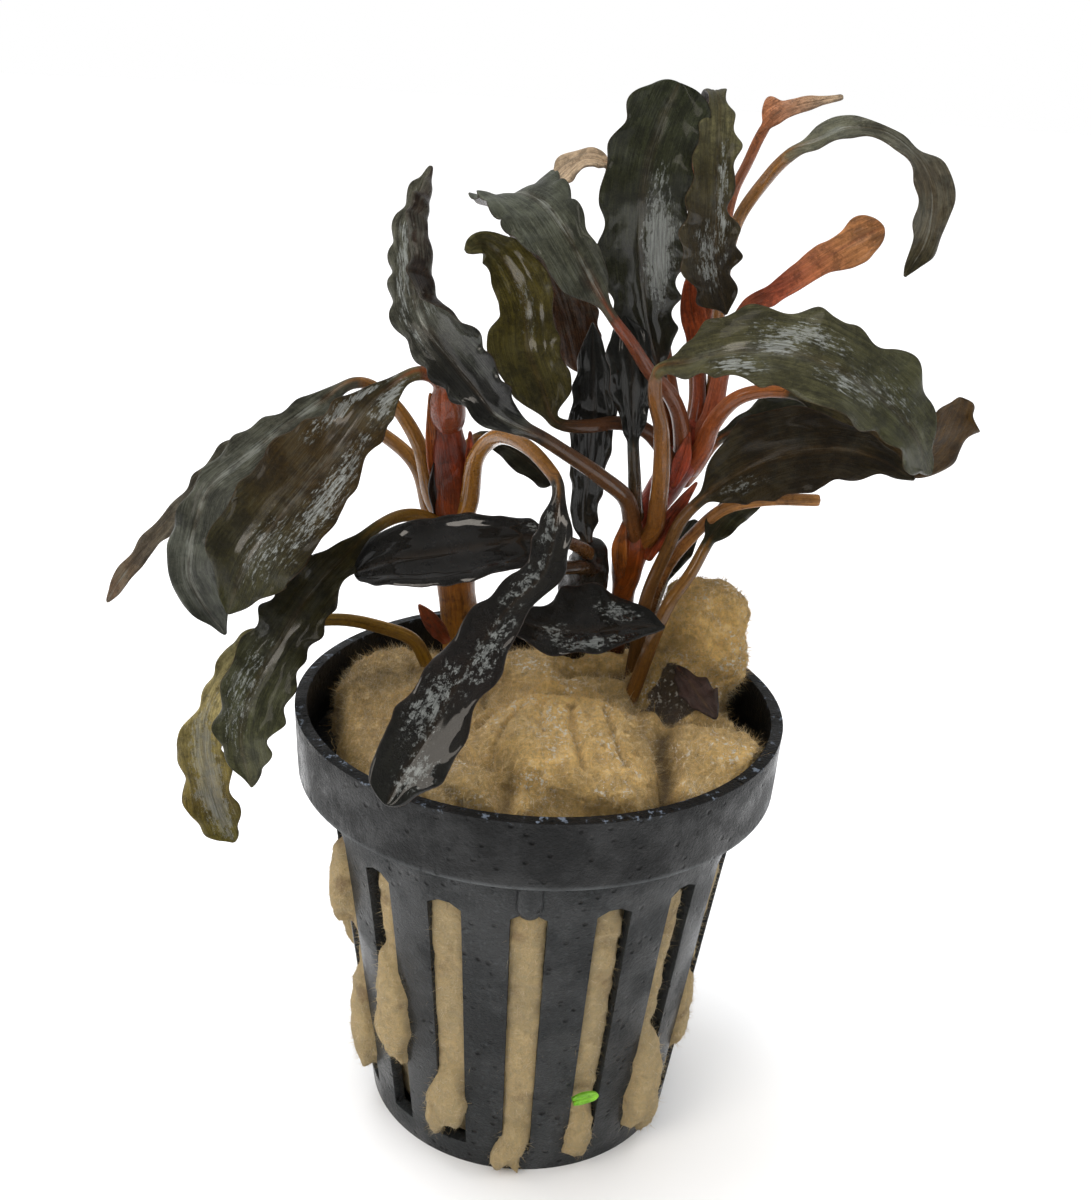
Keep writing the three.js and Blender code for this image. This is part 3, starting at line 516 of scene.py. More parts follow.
def add_swell(heap, slot, z, wide, tall, out, lean):
    """A drape of wool that leaves its slot near the top and hangs out with a ragged foot."""
    spin = at_slot(slot)
    for vertex in ball(heap):
        p = Vector(boxy(vertex.co, 0.75))
        drop = (1 - p.z) / 2
        rag = ripple(p.y * 1.6 + slot, p.x * 0.5, z) * 3.4 + ripple(p.y * 5 + slot, p.x * 2, z) * 1.1
        rag *= drop**2
        height = max(z + p.z * tall + rag, 0.35)
        depth = p.x * out * (0.3 + 0.8 * drop) if p.x > 0 else p.x * 1.6
        sign = 1 if p.y > 0 else -1
        over = p.y * wide * (0.7 + 0.45 * drop) * (1 + 0.4 * ripple(p.z * 1.9, slot, 2.5 + sign * 4))
        vertex.co = spin @ Vector((body_radius(height) + 0.1 + depth, over + lean * drop, height)) * MM


def add_tongue(heap, index, shift=0.0, half=2.2, foot=SLOT_FROM):
    """Wool that fills one slot, or a part of its height, to just inside the wall's outside."""
    spin = at_slot(index)
    for vertex in ball(heap):
        p = Vector(boxy(vertex.co, 0.3))
        height = (foot + SLOT_TO) / 2 + p.z * ((SLOT_TO - foot) / 2 + 0.3)
        puff = 0.25 * ripple(index + 5, height * 0.3, p.y * 1.5)
        out = body_radius(height) - 0.15 + puff - (1 - p.x) * 1.3 - 0.6 * p.y**2
        lean = half + 0.25 * ripple(index, height * 0.25, p.y)
        vertex.co = spin @ Vector((out, p.y * lean + shift, height)) * MM


def remeshed(heap, voxel):
    """The heap's outer skin as one even mesh."""
    mesh = bpy.data.meshes.new("heap")
    heap.to_mesh(mesh)
    heap.free()
    holder = bpy.data.objects.new("heap", mesh)
    bpy.context.scene.collection.objects.link(holder)
    skin = holder.modifiers.new("skin", "REMESH")
    skin.mode = "VOXEL"
    skin.voxel_size = voxel
    graph = bpy.context.evaluated_depsgraph_get()
    made = bpy.data.meshes.new_from_object(holder.evaluated_get(graph))
    bpy.data.objects.remove(holder)
    bpy.data.meshes.remove(mesh)
    result = bmesh.new()
    result.from_mesh(made)
    bpy.data.meshes.remove(made)
    return result


def near_line(point, line):
    """Distance in plan from a point to a line through places."""
    nearest = 99.0
    for a, b in zip(line, line[1:]):
        a, b = Vector(a), Vector(b)
        share = min(max((point - a).dot(b - a) / (b - a).length_squared, 0.0), 1.0)
        nearest = min(nearest, (point - a.lerp(b, share)).length)
    return nearest


def teased(skin, seed, rough, hollow=None, fan=None, creases=()):
    """Folds, tufts and tears in a skin of wool, with painted shade stored along its creases, in the hollow
    and on slot wool that lies deep behind the wall.
    """
    for _ in range(2):
        bmesh.ops.smooth_vert(
            skin, verts=skin.verts, factor=0.5, use_axis_x=True, use_axis_y=True, use_axis_z=True
        )
    skin.normal_update()
    deep = skin.verts.layers.float.new("deep")
    for vertex in skin.verts:
        p = vertex.co / MM
        drift = ripple(p.x * 0.12, p.y * 0.12, p.z * 0.12 + seed) * 2.5
        fold = 1 - abs(ripple(p.x * 0.2 + seed, p.y * 0.11, p.z * 0.22)) * 2
        if fan:
            turn = atan2(p.y - fan[1], p.x - fan[0])
            crease = abs(ripple(cos(turn) * 2.6 + seed, sin(turn) * 2.6, drift * 0.3)) ** 0.6
        else:
            crease = abs(ripple(p.x * 0.42 + drift, p.y * 0.16 + seed, p.z * 0.3)) ** 0.6
        tuft = ripple(p.x * 0.75, p.y * 0.75, p.z * 0.75 + seed)
        fluff = ripple(p.x * 2.3, p.y * 2.3 + seed, p.z * 2.3)
        lift = rough * (0.35 * fold - 0.5 + 0.5 * crease + 0.28 * tuft + 0.22 * fluff)
        # painted shade along the creases of the folds
        vertex[deep] = max(1 - crease * 2.2, 0.0) * 0.35
        vertex.co += vertex.normal * lift * MM
        wall = body_radius(p.z)
        if p.z < PLUG_TOP and p.to_2d().length < wall:
            reach = vertex.co.to_2d().length / MM
            pull = min((wall - FLUSH) / reach, 1.0)
            vertex.co.x *= pull
            vertex.co.y *= pull
            # painted shade on slot wool that lies deeper behind the wall
            vertex[deep] = max(vertex[deep], min(max(wall - reach * pull - 0.35, 0.0) * 0.5, 0.6))
        if p.z > PLUG_TOP + 1:
            for width, depth, shade, line in creases:
                sink = exp(-((near_line(p.to_2d(), line) / width) ** 2))
                vertex.co.z = max(vertex.co.z - sink * depth * MM, CREASE_FLOOR * MM)
                # painted shade laid into each crease
                vertex[deep] = max(vertex[deep], sink * shade)
        if hollow:
            from_middle = vertex.co / MM - Vector(hollow["at"])
            reach = sqrt(sum((c / half) ** 2 for c, half in zip(from_middle, hollow["size"])))
            if 0.01 < reach < 1:
                vertex.co = (Vector(hollow["at"]) + from_middle / reach) * MM
                # painted shade fills the hollow
                vertex[deep] = 1.0
    skin.normal_update()


def add_fibres(skin, count, length, seed, keep):
    """Fine tapering strips that lie over the wool and stand up from it here and there."""
    draw = random.Random(seed)
    faces = [face for face in skin.faces if keep(face.calc_center_median() / MM)]
    grow = skin.verts.layers.float_vector.new("grow")
    bend = skin.verts.layers.float_vector.new("bend")
    shine = skin.verts.layers.float.new("shine")
    side = skin.verts.layers.float_vector.new("side")
    deep = skin.verts.layers.float["deep"]
    strands = []
    for face in draw.choices(faces, k=count):
        normal = face.normal.copy()
        lie = Vector([draw.gauss(0, 1) for _ in range(3)])
        lie = (lie - normal * lie.dot(normal)).normalized()
        lift = draw.uniform(0.1, 0.7) if draw.random() < 0.6 else draw.uniform(0.8, 2.2)
        run = (lie + normal * lift).normalized() * length * draw.uniform(0.5, 1.6) * MM
        half = run.cross(normal).normalized() * draw.uniform(0.014, 0.028) * MM
        foot = face.calc_center_median() + lie * draw.uniform(-0.2, 0.2) * MM
        kink = Vector([draw.gauss(0, 0.3) for _ in range(3)]) * run.length / FIBRE_PARTS
        pair = [skin.verts.new(foot + half * sign) for sign in (1, -1)]
        glint = draw.uniform(0.2, 1.0)
        for vertex, sign in zip(pair, (1, -1)):
            # painted glint: a random lightness for each fibre, none where the fibre lies in painted shade
            vertex[shine] = glint * (1 - face.verts[0][deep])
            # each fibre carries the painted shade of the face that it grows from
            vertex[deep] = face.verts[0][deep]
            vertex[grow] = run / FIBRE_PARTS
            vertex[bend] = kink
            vertex[side] = half * sign
        strands.append(skin.edges.new(pair))
    for part in range(FIBRE_PARTS):
        made = bmesh.ops.extrude_edge_only(skin, edges=strands)["geom"]
        strands = [item for item in made if isinstance(item, bmesh.types.BMEdge)]
        for vertex in (item for item in made if isinstance(item, bmesh.types.BMVert)):
            vertex.co += vertex[grow] + vertex[bend] * part - vertex[side] * 0.3


def wool_finish(colour):
    """Damp wool: strands that cross and brown stains, with painted light on the higher wool, the raised tufts
    and the fibres, painted shade in the creases, the hollow and the slot wool deep behind the wall, and
    painted sparkle on top.
    """
    finish = Finish("damp rock wool", Specular_IOR_Level=0.3, Sheen_Weight=0.15, Sheen_Roughness=0.5)
    spot, height = finish.place, finish.height()
    shine, deep = finish.attribute("shine"), finish.attribute("deep")
    cloud = finish.clear(spot, 100.0, 6.0)
    tuft = finish.clear(spot, 1100.0, 7.0, 0.75)
    strands = finish.clear(spot, (1700.0, 900.0, 1000.0), 8.0, 0.8, 2.5)
    crossed = finish.clear(spot, (900.0, 1900.0, 800.0), 8.0, 0.8, 2.5)
    combed = finish.clear(spot, (2100.0, 260.0, 300.0), 6.0, 0.7, 0.6)
    # painted light: the higher wool is lighter and the lower wool darker
    painted_light_on_top = finish.ramp(height, 0.044, 0.05, 0.8, 1.12)
    in_slots = finish.ramp(height, 0.034, 0.041, 1.0, 0.0)
    pale = finish.mixed(cloud, finish.scaled(colour, 0.76), finish.scaled(colour, 1.16))
    # brightness follows the tufts and strands that the bump raises: partly the fibres' own tone, partly
    # painted light on the raised wool and painted shade between
    woven = 0.42 + tuft * 0.5 + strands * 0.28 + crossed * 0.28 + combed * 0.14
    flecked = finish.scaled(pale, woven * painted_light_on_top)
    # painted light: near-white on the raised tuft tops
    with_painted_tuft_light = finish.mixed(finish.ramp(tuft, 0.6, 1.0) * 0.35, flecked, paint(0xF4E2B6))
    brown = finish.ramp(finish.grain(spot, 300.0, 5.0, 0.65), 0.55, 0.7)
    # painted shade: dark brown where the deep attribute is high
    with_painted_shade = finish.mixed(finish.ramp(deep + (cloud - 0.5) * 0.2, 0.2, 0.95) * 0.9, with_painted_tuft_light, paint(0x33200A))
    rinsed = finish.mixed(in_slots * 0.55, with_painted_shade, paint(0xC6B48A))
    aged = finish.mixed(brown * (0.3 + in_slots * 0.2), rinsed, paint(0x7C5628))
    # painted glints on the fibres
    fuzzy = finish.mixed(finish.ramp(shine, 0.3, 1.0) * 0.75, aged, paint(0xFFF0CC))
    # painted sparkle: near-white dots mixed into the colour of the upper wool
    sown = finish.ramp(finish.grain(spot, 190.0, 3.0), 0.48, 0.6) * finish.ramp(height, 0.0445, 0.047)
    sparkle = finish.ramp(finish.grain(spot, 2300.0, 2.0), 0.57, 0.63) * sown
    return finish.coat(
        Base_Color=finish.mixed(sparkle * 0.85, fuzzy, paint(0xFFF8E8)),
        Roughness=0.6 + tuft * 0.35,
        Normal=finish.raised(strands * 0.5 + crossed * 0.5 + tuft * 0.9 + combed * 0.3, 0.00026),
    )


# Stems and leaves

SECTION = 32  # points round a stalk or a blade
HALF_BLADE = SECTION // 4  # steps from the midrib to a margin
SHARES = [(k / HALF_BLADE) ** 0.85 for k in range(HALF_BLADE + 1)]  # how far out each step ends
STALK_RING = 0.9  # length between two rings of a stalk
STEM_RING = 0.6  # the same for a stem
TO_VIEWER = Vector((0, -0.93, 0.37))
# What a leaf has where its entry doesn't say. The swing and count of its waves; the height, spacing and bite
# of its frill; the angle of its cup; where its tip starts to round; how soon the stalk has opened into the
# blade; the rings along the blade; how deep its pleats are; the curl of its right margin; which way its upper
# side faces; the radii and colours of its stalk; the colour of its rib; and its patches of pale film and
# painted reflection, and of water
USUAL_LEAF = dict(
    ruffle=(0.35, 3.5), frill=(0.5, 4.2, 0.22), cup=12, round_from=0.88, open=0.12, rings=88, pleat=0.2,
    curl_right=[0], face=[TO_VIEWER], stalk_radii=(0.8, 0.6), stem=[0xA06A2C, 0x9A5A28], rib=0x5A4428,
    films_and_reflections=[], wets=[],
)
BRACT = dict(stalk=1, rings=14, ruffle=(0, 1), frill=(0.05, 3.0, 0.1), cup=35, open=0.02)
BRACT_THICKNESS = 0.14  # half of it, as in the settings
SCRAP_THICKNESS = 1.3  # as a share of a leaf's


def seed_of(name):
    """A number for the noise that stays with a piece."""
    return sum(ord(letter) * (i + 3) for i, letter in enumerate(name)) % 89


def patch(patches, t, s):
    """How strongly a blade's patches cover a point."""
    total = 0.0
    for t0, s0, reach_t, reach_s, strength in patches:
        total = max(total, strength * exp(-(((t - t0) / reach_t) ** 2) - ((s - s0) / reach_s) ** 2))
    return total


def blade_section(leaf, t, length, seed, ruffle_share):
    """Each half of the blade's section at t, from the midrib out, as across, above, share, turn and fold."""
    halves = {}
    swing, waves = leaf["ruffle"]
    frill, spacing, bite = leaf["frill"]
    cup, round_from = radians(leaf["cup"]), leaf["round_from"]
    run = t * length
    for sign, side in ((1, "right"), (-1, "left")):
        curl = radians(along(leaf["curl_right"], t)) if sign > 0 else 0.0
        phase = seed * 1.7 + (0 if sign > 0 else 2.1)
        pace = 2 * pi * waves * t + phase
        wave = sin(pace + 0.8 * sin(pace * 0.37))
        beat = 2 * pi * run / spacing + 2.4 * ripple(run / 7, seed + sign * 3, 0.5) + phase
        strength = 0.55 + 0.9 * abs(ripple(run / 5.5, seed + sign * 5, 1.5))
        fringe = frill * strength * sin(beat) * eased(t, 0.04, 0.2)
        bound = max(rounded(leaf[side], t), 0.3)
        bound += bite * strength * cos(beat) * min(1.0, bound / 2) * eased(t, 0.04, 0.2)
        bound *= 1 + 0.04 * ripple(run / 1.3, seed + sign * 7, 2.5)
        if t > round_from:
            bound *= sqrt(max(0.0, 1 - ((t - round_from) / (1 - round_from)) ** 2))
        bound = max(bound, 0.1)
        loose = swing * ruffle_share * wave * min(1.0, bound / 2)
        pleat = leaf["pleat"] * eased(t, 0.02, 0.2) * min(1.0, bound / 2.5)
        x = z = turn = before = 0.0
        halves[sign] = []
        for s in SHARES:
            if s > 0:
                turn = cup + curl * ((before + s) / 2) ** 1.6
                x += (s - before) * bound * cos(turn)
                z += (s - before) * bound * sin(turn)
                before = s
            folds = 0.7 * sin(3 * pi * s) + 0.45 * sin(6 * pi * s + seed + 1.5 * ripple(run / 9, seed, s))
            above = z + (loose * s**2 + pleat * folds * (1 - s) ** 0.5)
            above += ruffle_share * fringe * s**5 * min(1.0, bound / 1.5)
            above += 0.2 * ripple(x * 0.5 * sign, run / 4, seed) * s
            halves[sign].append((sign * x, above, s, sign * turn, folds * (1 - s) ** 0.5))
    return halves


def leaf_mesh(name, leaf, thickness, ruffle_share):
    """A stalk that opens into a blade, as one closed skin with what its finish reads at each point."""
    leaf = {**USUAL_LEAF, "left": leaf["right"], "under": leaf["upper"], **leaf}
    seed = seed_of(name)
    points = [Vector(p) for p in leaf["spine"]]
    stalk = leaf["stalk"]
    if stalk > 1:
        points.insert(0, Vector(leaf.get("root", points[0] + (points[0] - points[1]).normalized() * 1.3)))
        stalk += 1
    spine = Spine(points)
    start = spine.share_at(stalk - 1)
    blade_length = (1 - start) * spine.length
    stalk_rings = max(2, round(start * spine.length / STALK_RING)) if start else 0
    stops = [start * i / stalk_rings for i in range(stalk_rings)]
    stops += [start + (1 - start) * (1 - (1 - i / leaf["rings"]) ** 1.15) for i in range(leaf["rings"] + 1)]
    facing = [Vector(f) for f in leaf["face"]]
    radii = leaf["stalk_radii"]
    upper, under, stem = ([paint(c) for c in leaf[key]] for key in ("upper", "under", "stem"))
    rib_colour = paint(leaf["rib"])

    made = long_tube(SECTION, len(stops) - 1)
    layers = made.verts.layers
    tint, grain = layers.float_color.new("tint"), layers.float_vector.new("grain")
    film, wet, edge = (layers.float.new(key) for key in ("film", "wet", "edge"))
    blade, crest = layers.float.new("blade"), layers.float.new("crest")

    rings = []
    for stop in stops:
        t = (stop - start) / (1 - start)
        middle, forward = spine.at(stop)
        above = Vector(along(facing, t))
        above = (above - forward * above.dot(forward)).normalized()
        halves = blade_section(leaf, t, blade_length, seed, ruffle_share) if t >= 0 else None
        rings.append((stop, t, middle, forward.cross(above), above, halves))

    for vertex in made.verts:
        x, z = vertex.co.x, vertex.co.y
        stop, t, middle, across, above, halves = rings[min(max(round(vertex.co.z), 0), len(rings) - 1)]
        angle = atan2(z, x)
        face_up = 1 if z > 0.001 else -1 if z < -0.001 else 0
        if t < 0:
            radius = along(radii, stop / start)
            radius *= 1 + 0.05 * ripple(stop * 9, angle * 0.6, seed) + 0.02 * sin(angle * 5)
            over, up = x * radius, z * radius
            vertex[tint] = along(stem, stop / start)
            vertex[grain] = (angle * radii[0], stop * spine.length, float(face_up))
            vertex[wet] = 0.5
        else:
            share = 1 - abs(angle) / (pi / 2)
            sign = 1 if share >= 0 else -1
            k = round(abs(share) * HALF_BLADE)
            over, up, s, turn, fold = halves[sign][k]
            half = thickness + 0.3 * exp(-((s / 0.1) ** 2)) * (1 - 0.8 * t) * (1 if face_up < 0 else 0.1)
            half *= face_up if k < HALF_BLADE else 0
            groove = 0.16 * exp(-((s / 0.08) ** 2)) * (1 - t) if face_up > 0 else 0
            opened = eased(t, 0.0, leaf["open"])
            over -= sin(turn) * half
            up += cos(turn) * half - groove
            over = x * radii[-1] + (over - x * radii[-1]) * opened
            up = z * radii[-1] + (up - z * radii[-1]) * opened
            from_stem = (1 - eased(t, 0.0, 0.16)) * exp(-((s / 0.2) ** 2))
            colour = along([along(upper if face_up >= 0 else under, t), stem[-1]], from_stem)
            vertex[tint] = along([colour, rib_colour], exp(-((s / 0.05) ** 2)) * 0.35)
            vertex[grain] = (over, stop * spine.length, float(face_up))
            # pale patches: partly the leaf's own film and colour, partly painted reflection
            vertex[film] = patch(leaf["films_and_reflections"], t, sign * s) if face_up >= 0 else 0.0
            vertex[wet] = patch(leaf["wets"], t, sign * s)
            vertex[edge] = s
            vertex[blade] = eased(t, 0.0, 0.08)
            if face_up > 0:
                # crest drives the painted highlight along the fold crests and the midrib
                vertex[crest] = max((fold - 0.45) * 1.1, 0.8 * exp(-((s / 0.03) ** 2)))
        vertex.co = (middle + across * over + above * up) * MM
    return made


def stem_mesh(name, stem):
    """A round stem with the faint lines and knots of its sheaths."""
    seed = seed_of(name)
    spine = Spine(stem["spine"])
    rings = max(20, round(spine.length / STEM_RING))
    made = long_tube(SECTION, rings)
    layers = made.verts.layers
    tint, grain = layers.float_color.new("tint"), layers.float_vector.new("grain")
    colours = [paint(c) for c in stem["colours"]]
    lumpy = stem.get("lumpy", 0.04)
    for vertex in made.verts:
        t = min(max(vertex.co.z, 0), rings) / rings
        middle, forward = spine.at(t)
        above = (TO_VIEWER - forward * TO_VIEWER.dot(forward)).normalized()
        across = forward.cross(above)
        angle = atan2(vertex.co.y, vertex.co.x)
        radius = rounded(stem["radii"], t)
        if t > 0.97:
            radius *= stem.get("end", 0.55)
        radius *= 1 + lumpy * ripple(t * 14, angle, seed) * 2 + 0.035 * sin(angle * 4 + t * 3 + seed)
        vertex.co = (middle + across * cos(angle) * radius + above * sin(angle) * radius) * MM
        vertex[tint] = along(colours, t)
        vertex[grain] = (angle * radius, t * spine.length, 1.0)
    return made


def joined(parts):
    """Several bmeshes as one."""
    whole = parts[0]
    for part in parts[1:]:
        carrier = bpy.data.meshes.new("carrier")
        part.to_mesh(carrier)
        part.free()
        whole.from_mesh(carrier)
        bpy.data.meshes.remove(carrier)
    return whole


def leaf_finish(name, shade, cast, haze, sheen, bloom, brush, rough, gloss, skin, ridges):
    """A leaf: lengthwise fibres, small cells, a painted highlight along its fold crests and midrib, pale
    patches that are partly its own film and colour and partly painted reflection, and a wet skin over others.
    """
    finish = Finish(name, Specular_IOR_Level=0.2, Coat_Roughness=skin)
    spot = finish.place
    grain = finish.attribute("grain", "Vector")
    tint = finish.mixed(1.0, finish.attribute("tint", "Color"), paint(cast), "MULTIPLY")
    film, wet = finish.attribute("film"), finish.attribute("wet")
    edge, blade = finish.attribute("edge"), finish.attribute("blade")
    crest = finish.attribute("crest")

    fibres = finish.clear(grain, (2.2, 0.16, 1.0), 6.0, 0.7)
    threads = finish.clear(grain, (8.5, 0.32, 1.0), 5.0, 0.65)
    flecks = finish.clear(grain, brush, 9.0, 0.8)
    cloud = finish.clear(spot, 230.0, 5.0, 0.6)
    pebble = finish.clear(spot, 3200.0, 4.0, 0.7)
    blotch = finish.clear(spot, 620.0, 6.0, 0.75)

    darker = 0.82 - blade * (0.82 - shade)
    streaks = 0.1 + fibres * 0.6 + threads * 0.35 + cloud * 0.4 + pebble * 0.28
    body = finish.scaled(tint, streaks * darker)
    browned = finish.mixed((1 - blade) * finish.ramp(threads + cloud, 0.7, 1.5) * 0.5, body, paint(0x4A2A14))
    spotted = finish.ramp(blotch, 0.4, 0.85) * blade * 0.6
    mottled = finish.mixed(spotted, browned, finish.scaled(tint, 0.3 * shade))
    misted = finish.ramp(cloud + (threads - 0.5) * 0.7, 0.4, 1.1) * haze * blade
    misty = finish.mixed(misted, mottled, paint(0x6E7266))
    # painted highlight along the fold crests and the midrib
    painted_fold_highlight = finish.ramp(crest + (threads - 0.5) * 0.4 + (cloud - 0.5) * 0.5, 0.5, 1.15) * sheen * blade
    with_fold_highlight = finish.mixed(painted_fold_highlight, misty, paint(0x9A9E96))
    # pale patches: partly the leaf's own film and colour, partly painted reflection of the bright
    # surroundings
    film_and_reflection_cover = finish.ramp(film + (flecks - 0.5) * 1.3, 0.5, 0.74) * finish.ramp(film, 0.04, 0.3)
    with_film_and_reflection = finish.mixed(film_and_reflection_cover * (0.3 + threads * 0.6) * bloom, with_fold_highlight, paint(0xA2A6A2))
    rimmed = finish.mixed(finish.ramp(edge, 0.93, 1.0) * 0.3, with_film_and_reflection, paint(0x55361F))
    height = fibres * 0.5 * ridges + threads * 0.3 * ridges + pebble * 0.25 + blotch * 0.45
    soaked = finish.ramp(wet + (cloud - 0.5) * 0.5, 0.3, 0.5)
    return finish.coat(
        Base_Color=rimmed,
        Roughness=rough + film_and_reflection_cover * 0.2 + blotch * 0.1 - soaked * 0.1,
        Coat_Weight=gloss + soaked * 0.45 - film_and_reflection_cover * 0.2,
        Normal=finish.raised(height, 0.00017),
    )


def stem_finish(name, rough):
    """A stem: fine lines along it, darker in cloudy spots."""
    finish = Finish(name, Specular_IOR_Level=0.2, Coat_Roughness=0.1, Coat_Weight=0.18)
    spot = finish.place
    grain = finish.attribute("grain", "Vector")
    tint = finish.attribute("tint", "Color")
    lines = finish.clear(grain, (4.5, 0.2, 1.0), 5.0, 0.65)
    cloud = finish.clear(spot, 420.0, 5.0, 0.65)
    stain = finish.ramp(finish.grain(spot, 700.0, 6.0, 0.75), 0.5, 0.66) * 0.6
    body = finish.scaled(tint, 0.3 + lines * 0.45 + cloud * 0.5)
    return finish.coat(
        Base_Color=finish.mixed(stain, body, paint(0x341C10)),
        Roughness=rough + cloud * 0.2,
        Normal=finish.raised(lines * 0.6 + cloud * 0.5, 0.00018),
    )


def scrap_finish(name, spots, rough, sparkle):
    """A loose bit: veins along it and wet spots of another colour."""
    finish = Finish(name, Coat_Roughness=0.1)
    spot = finish.place
    grain = finish.attribute("grain", "Vector")
    veins = finish.clear(grain, (2.0, 0.5, 1.0), 5.0, 0.65)
    speck = finish.ramp(finish.grain(spot, 1500.0, 4.0, 0.7), 0.55, 0.68)
    body = finish.scaled(finish.attribute("tint", "Color"), 0.6 + veins * 0.7)
    return finish.coat(
        Base_Color=finish.mixed(speck * 0.6, body, spots),
        Roughness=rough + veins * 0.2,
        Coat_Weight=speck * sparkle,
        Normal=finish.raised(veins + speck * 0.4, 0.00014),
    )


# Stems: a line, the radii and colours along it, how lumpy it is, how blunt it ends and the bracts on it
STEMS = {
    "shoot_left": dict(
        end=0.6,
        spine=[(-9, 14, 42), (-9.3, 13.5, 48), (-9.8, 12.5, 53), (-10.3, 11, 60), (-10.5, 9.5, 66.5),
            (-10.8, 8.5, 71.5), (-11, 7.6, 75)],
        radii=[2, 2, 2.05, 2.1, 2.1, 1.85, 1.15],
        colours=[0xB08034, 0xB07C30, 0xA66A2A, 0x94501A, 0x863A12, 0x762A0C, 0x7E3210],
        bracts=[
            dict(
                spine=[(-11.4, 9.8, 63.5), (-12.3, 8.7, 68.5), (-12.6, 7.9, 72.5), (-12.7, 7.3, 76.2)],
                right=[0.4, 0.8, 0.7, 0.15], upper=[0x8A3A1A, 0xA0501E, 0xA8642A],
            ),
            dict(
                spine=[(-11.8, 9.2, 62.6), (-12.3, 8.5, 65.6), (-12.1, 8.1, 68.8)], right=[0.4, 0.7, 0.2],
                left=[0.4, 0.6, 0.2], upper=[0x1A0E08, 0x2A160C],
            ),
            dict(
                spine=[(-8.9, 9.4, 63), (-8.5, 8.4, 68), (-8.6, 7.6, 72.4)], right=[0.4, 0.9, 0.2],
                upper=[0xA05A20, 0x9A4420, 0x8E3A1E],
            ),
        ],
    ),
    "shoot_right": dict(
        lumpy=0.08,
        spine=[(7.5, 11, 43), (8, 10, 50), (8.3, 9, 56), (9, 7, 63), (11.5, 8, 67.5), (13.7, 9, 71.5),
            (14.2, 9.5, 75)],
        radii=[1, 1.1, 1.2, 1.9, 1.6, 1.8, 1],
        colours=[0x4A2C18, 0x5A3018, 0x8A4A1C, 0x9A4C14, 0x842E18, 0x983A22, 0x9E442E],
        bracts=[
            dict(
                spine=[(7.6, 6.2, 58), (7.2, 5.2, 61.5), (7.6, 4.8, 65)], right=[0.5, 1.1, 0.2],
                left=[0.5, 1.0, 0.2], upper=[0x7A3A14, 0xA8601E, 0x6A3014],
            ),
            dict(
                spine=[(10.2, 6.4, 60), (11.4, 5.6, 63.5), (13, 5.4, 66.5), (14.6, 5.6, 69)],
                right=[0.5, 1.3, 1.0, 0.2], left=[0.5, 1.1, 0.8, 0.2], upper=[0x8A3C18, 0x8E3A20, 0xA04A2E],
            ),
            dict(
                spine=[(12.2, 6.6, 68), (12.9, 6.2, 71), (13.4, 6.2, 74)], right=[0.5, 1.1, 0.2],
                upper=[0x9A3C24, 0xA8482E, 0xA8502E],
            ),
        ],
    ),
    "rhizome": dict(
        lumpy=0.16,
        spine=[(2.6, 11, 43), (3, 10, 48), (3.6, 8.2, 54), (4.2, 6.6, 58.6), (4.4, 6.2, 62)],
        radii=[1.6, 1.8, 2.1, 2.4, 1.6], colours=[0x2A2018, 0x221E18, 0x1E1C18],
    ),
    "petiole_cut": dict(
        end=1.0,
        spine=[(10.8, 9.2, 47), (11.2, 8.5, 53.5), (12.5, 7.5, 59), (14.6, 6, 63), (17.5, 5, 66.5),
            (21.5, 4, 68), (26.7, 3, 68.6)],
        radii=[0.7, 0.65, 0.6], colours=[0x8A5A2A, 0xA8703A, 0xB07A40],
    ),
}

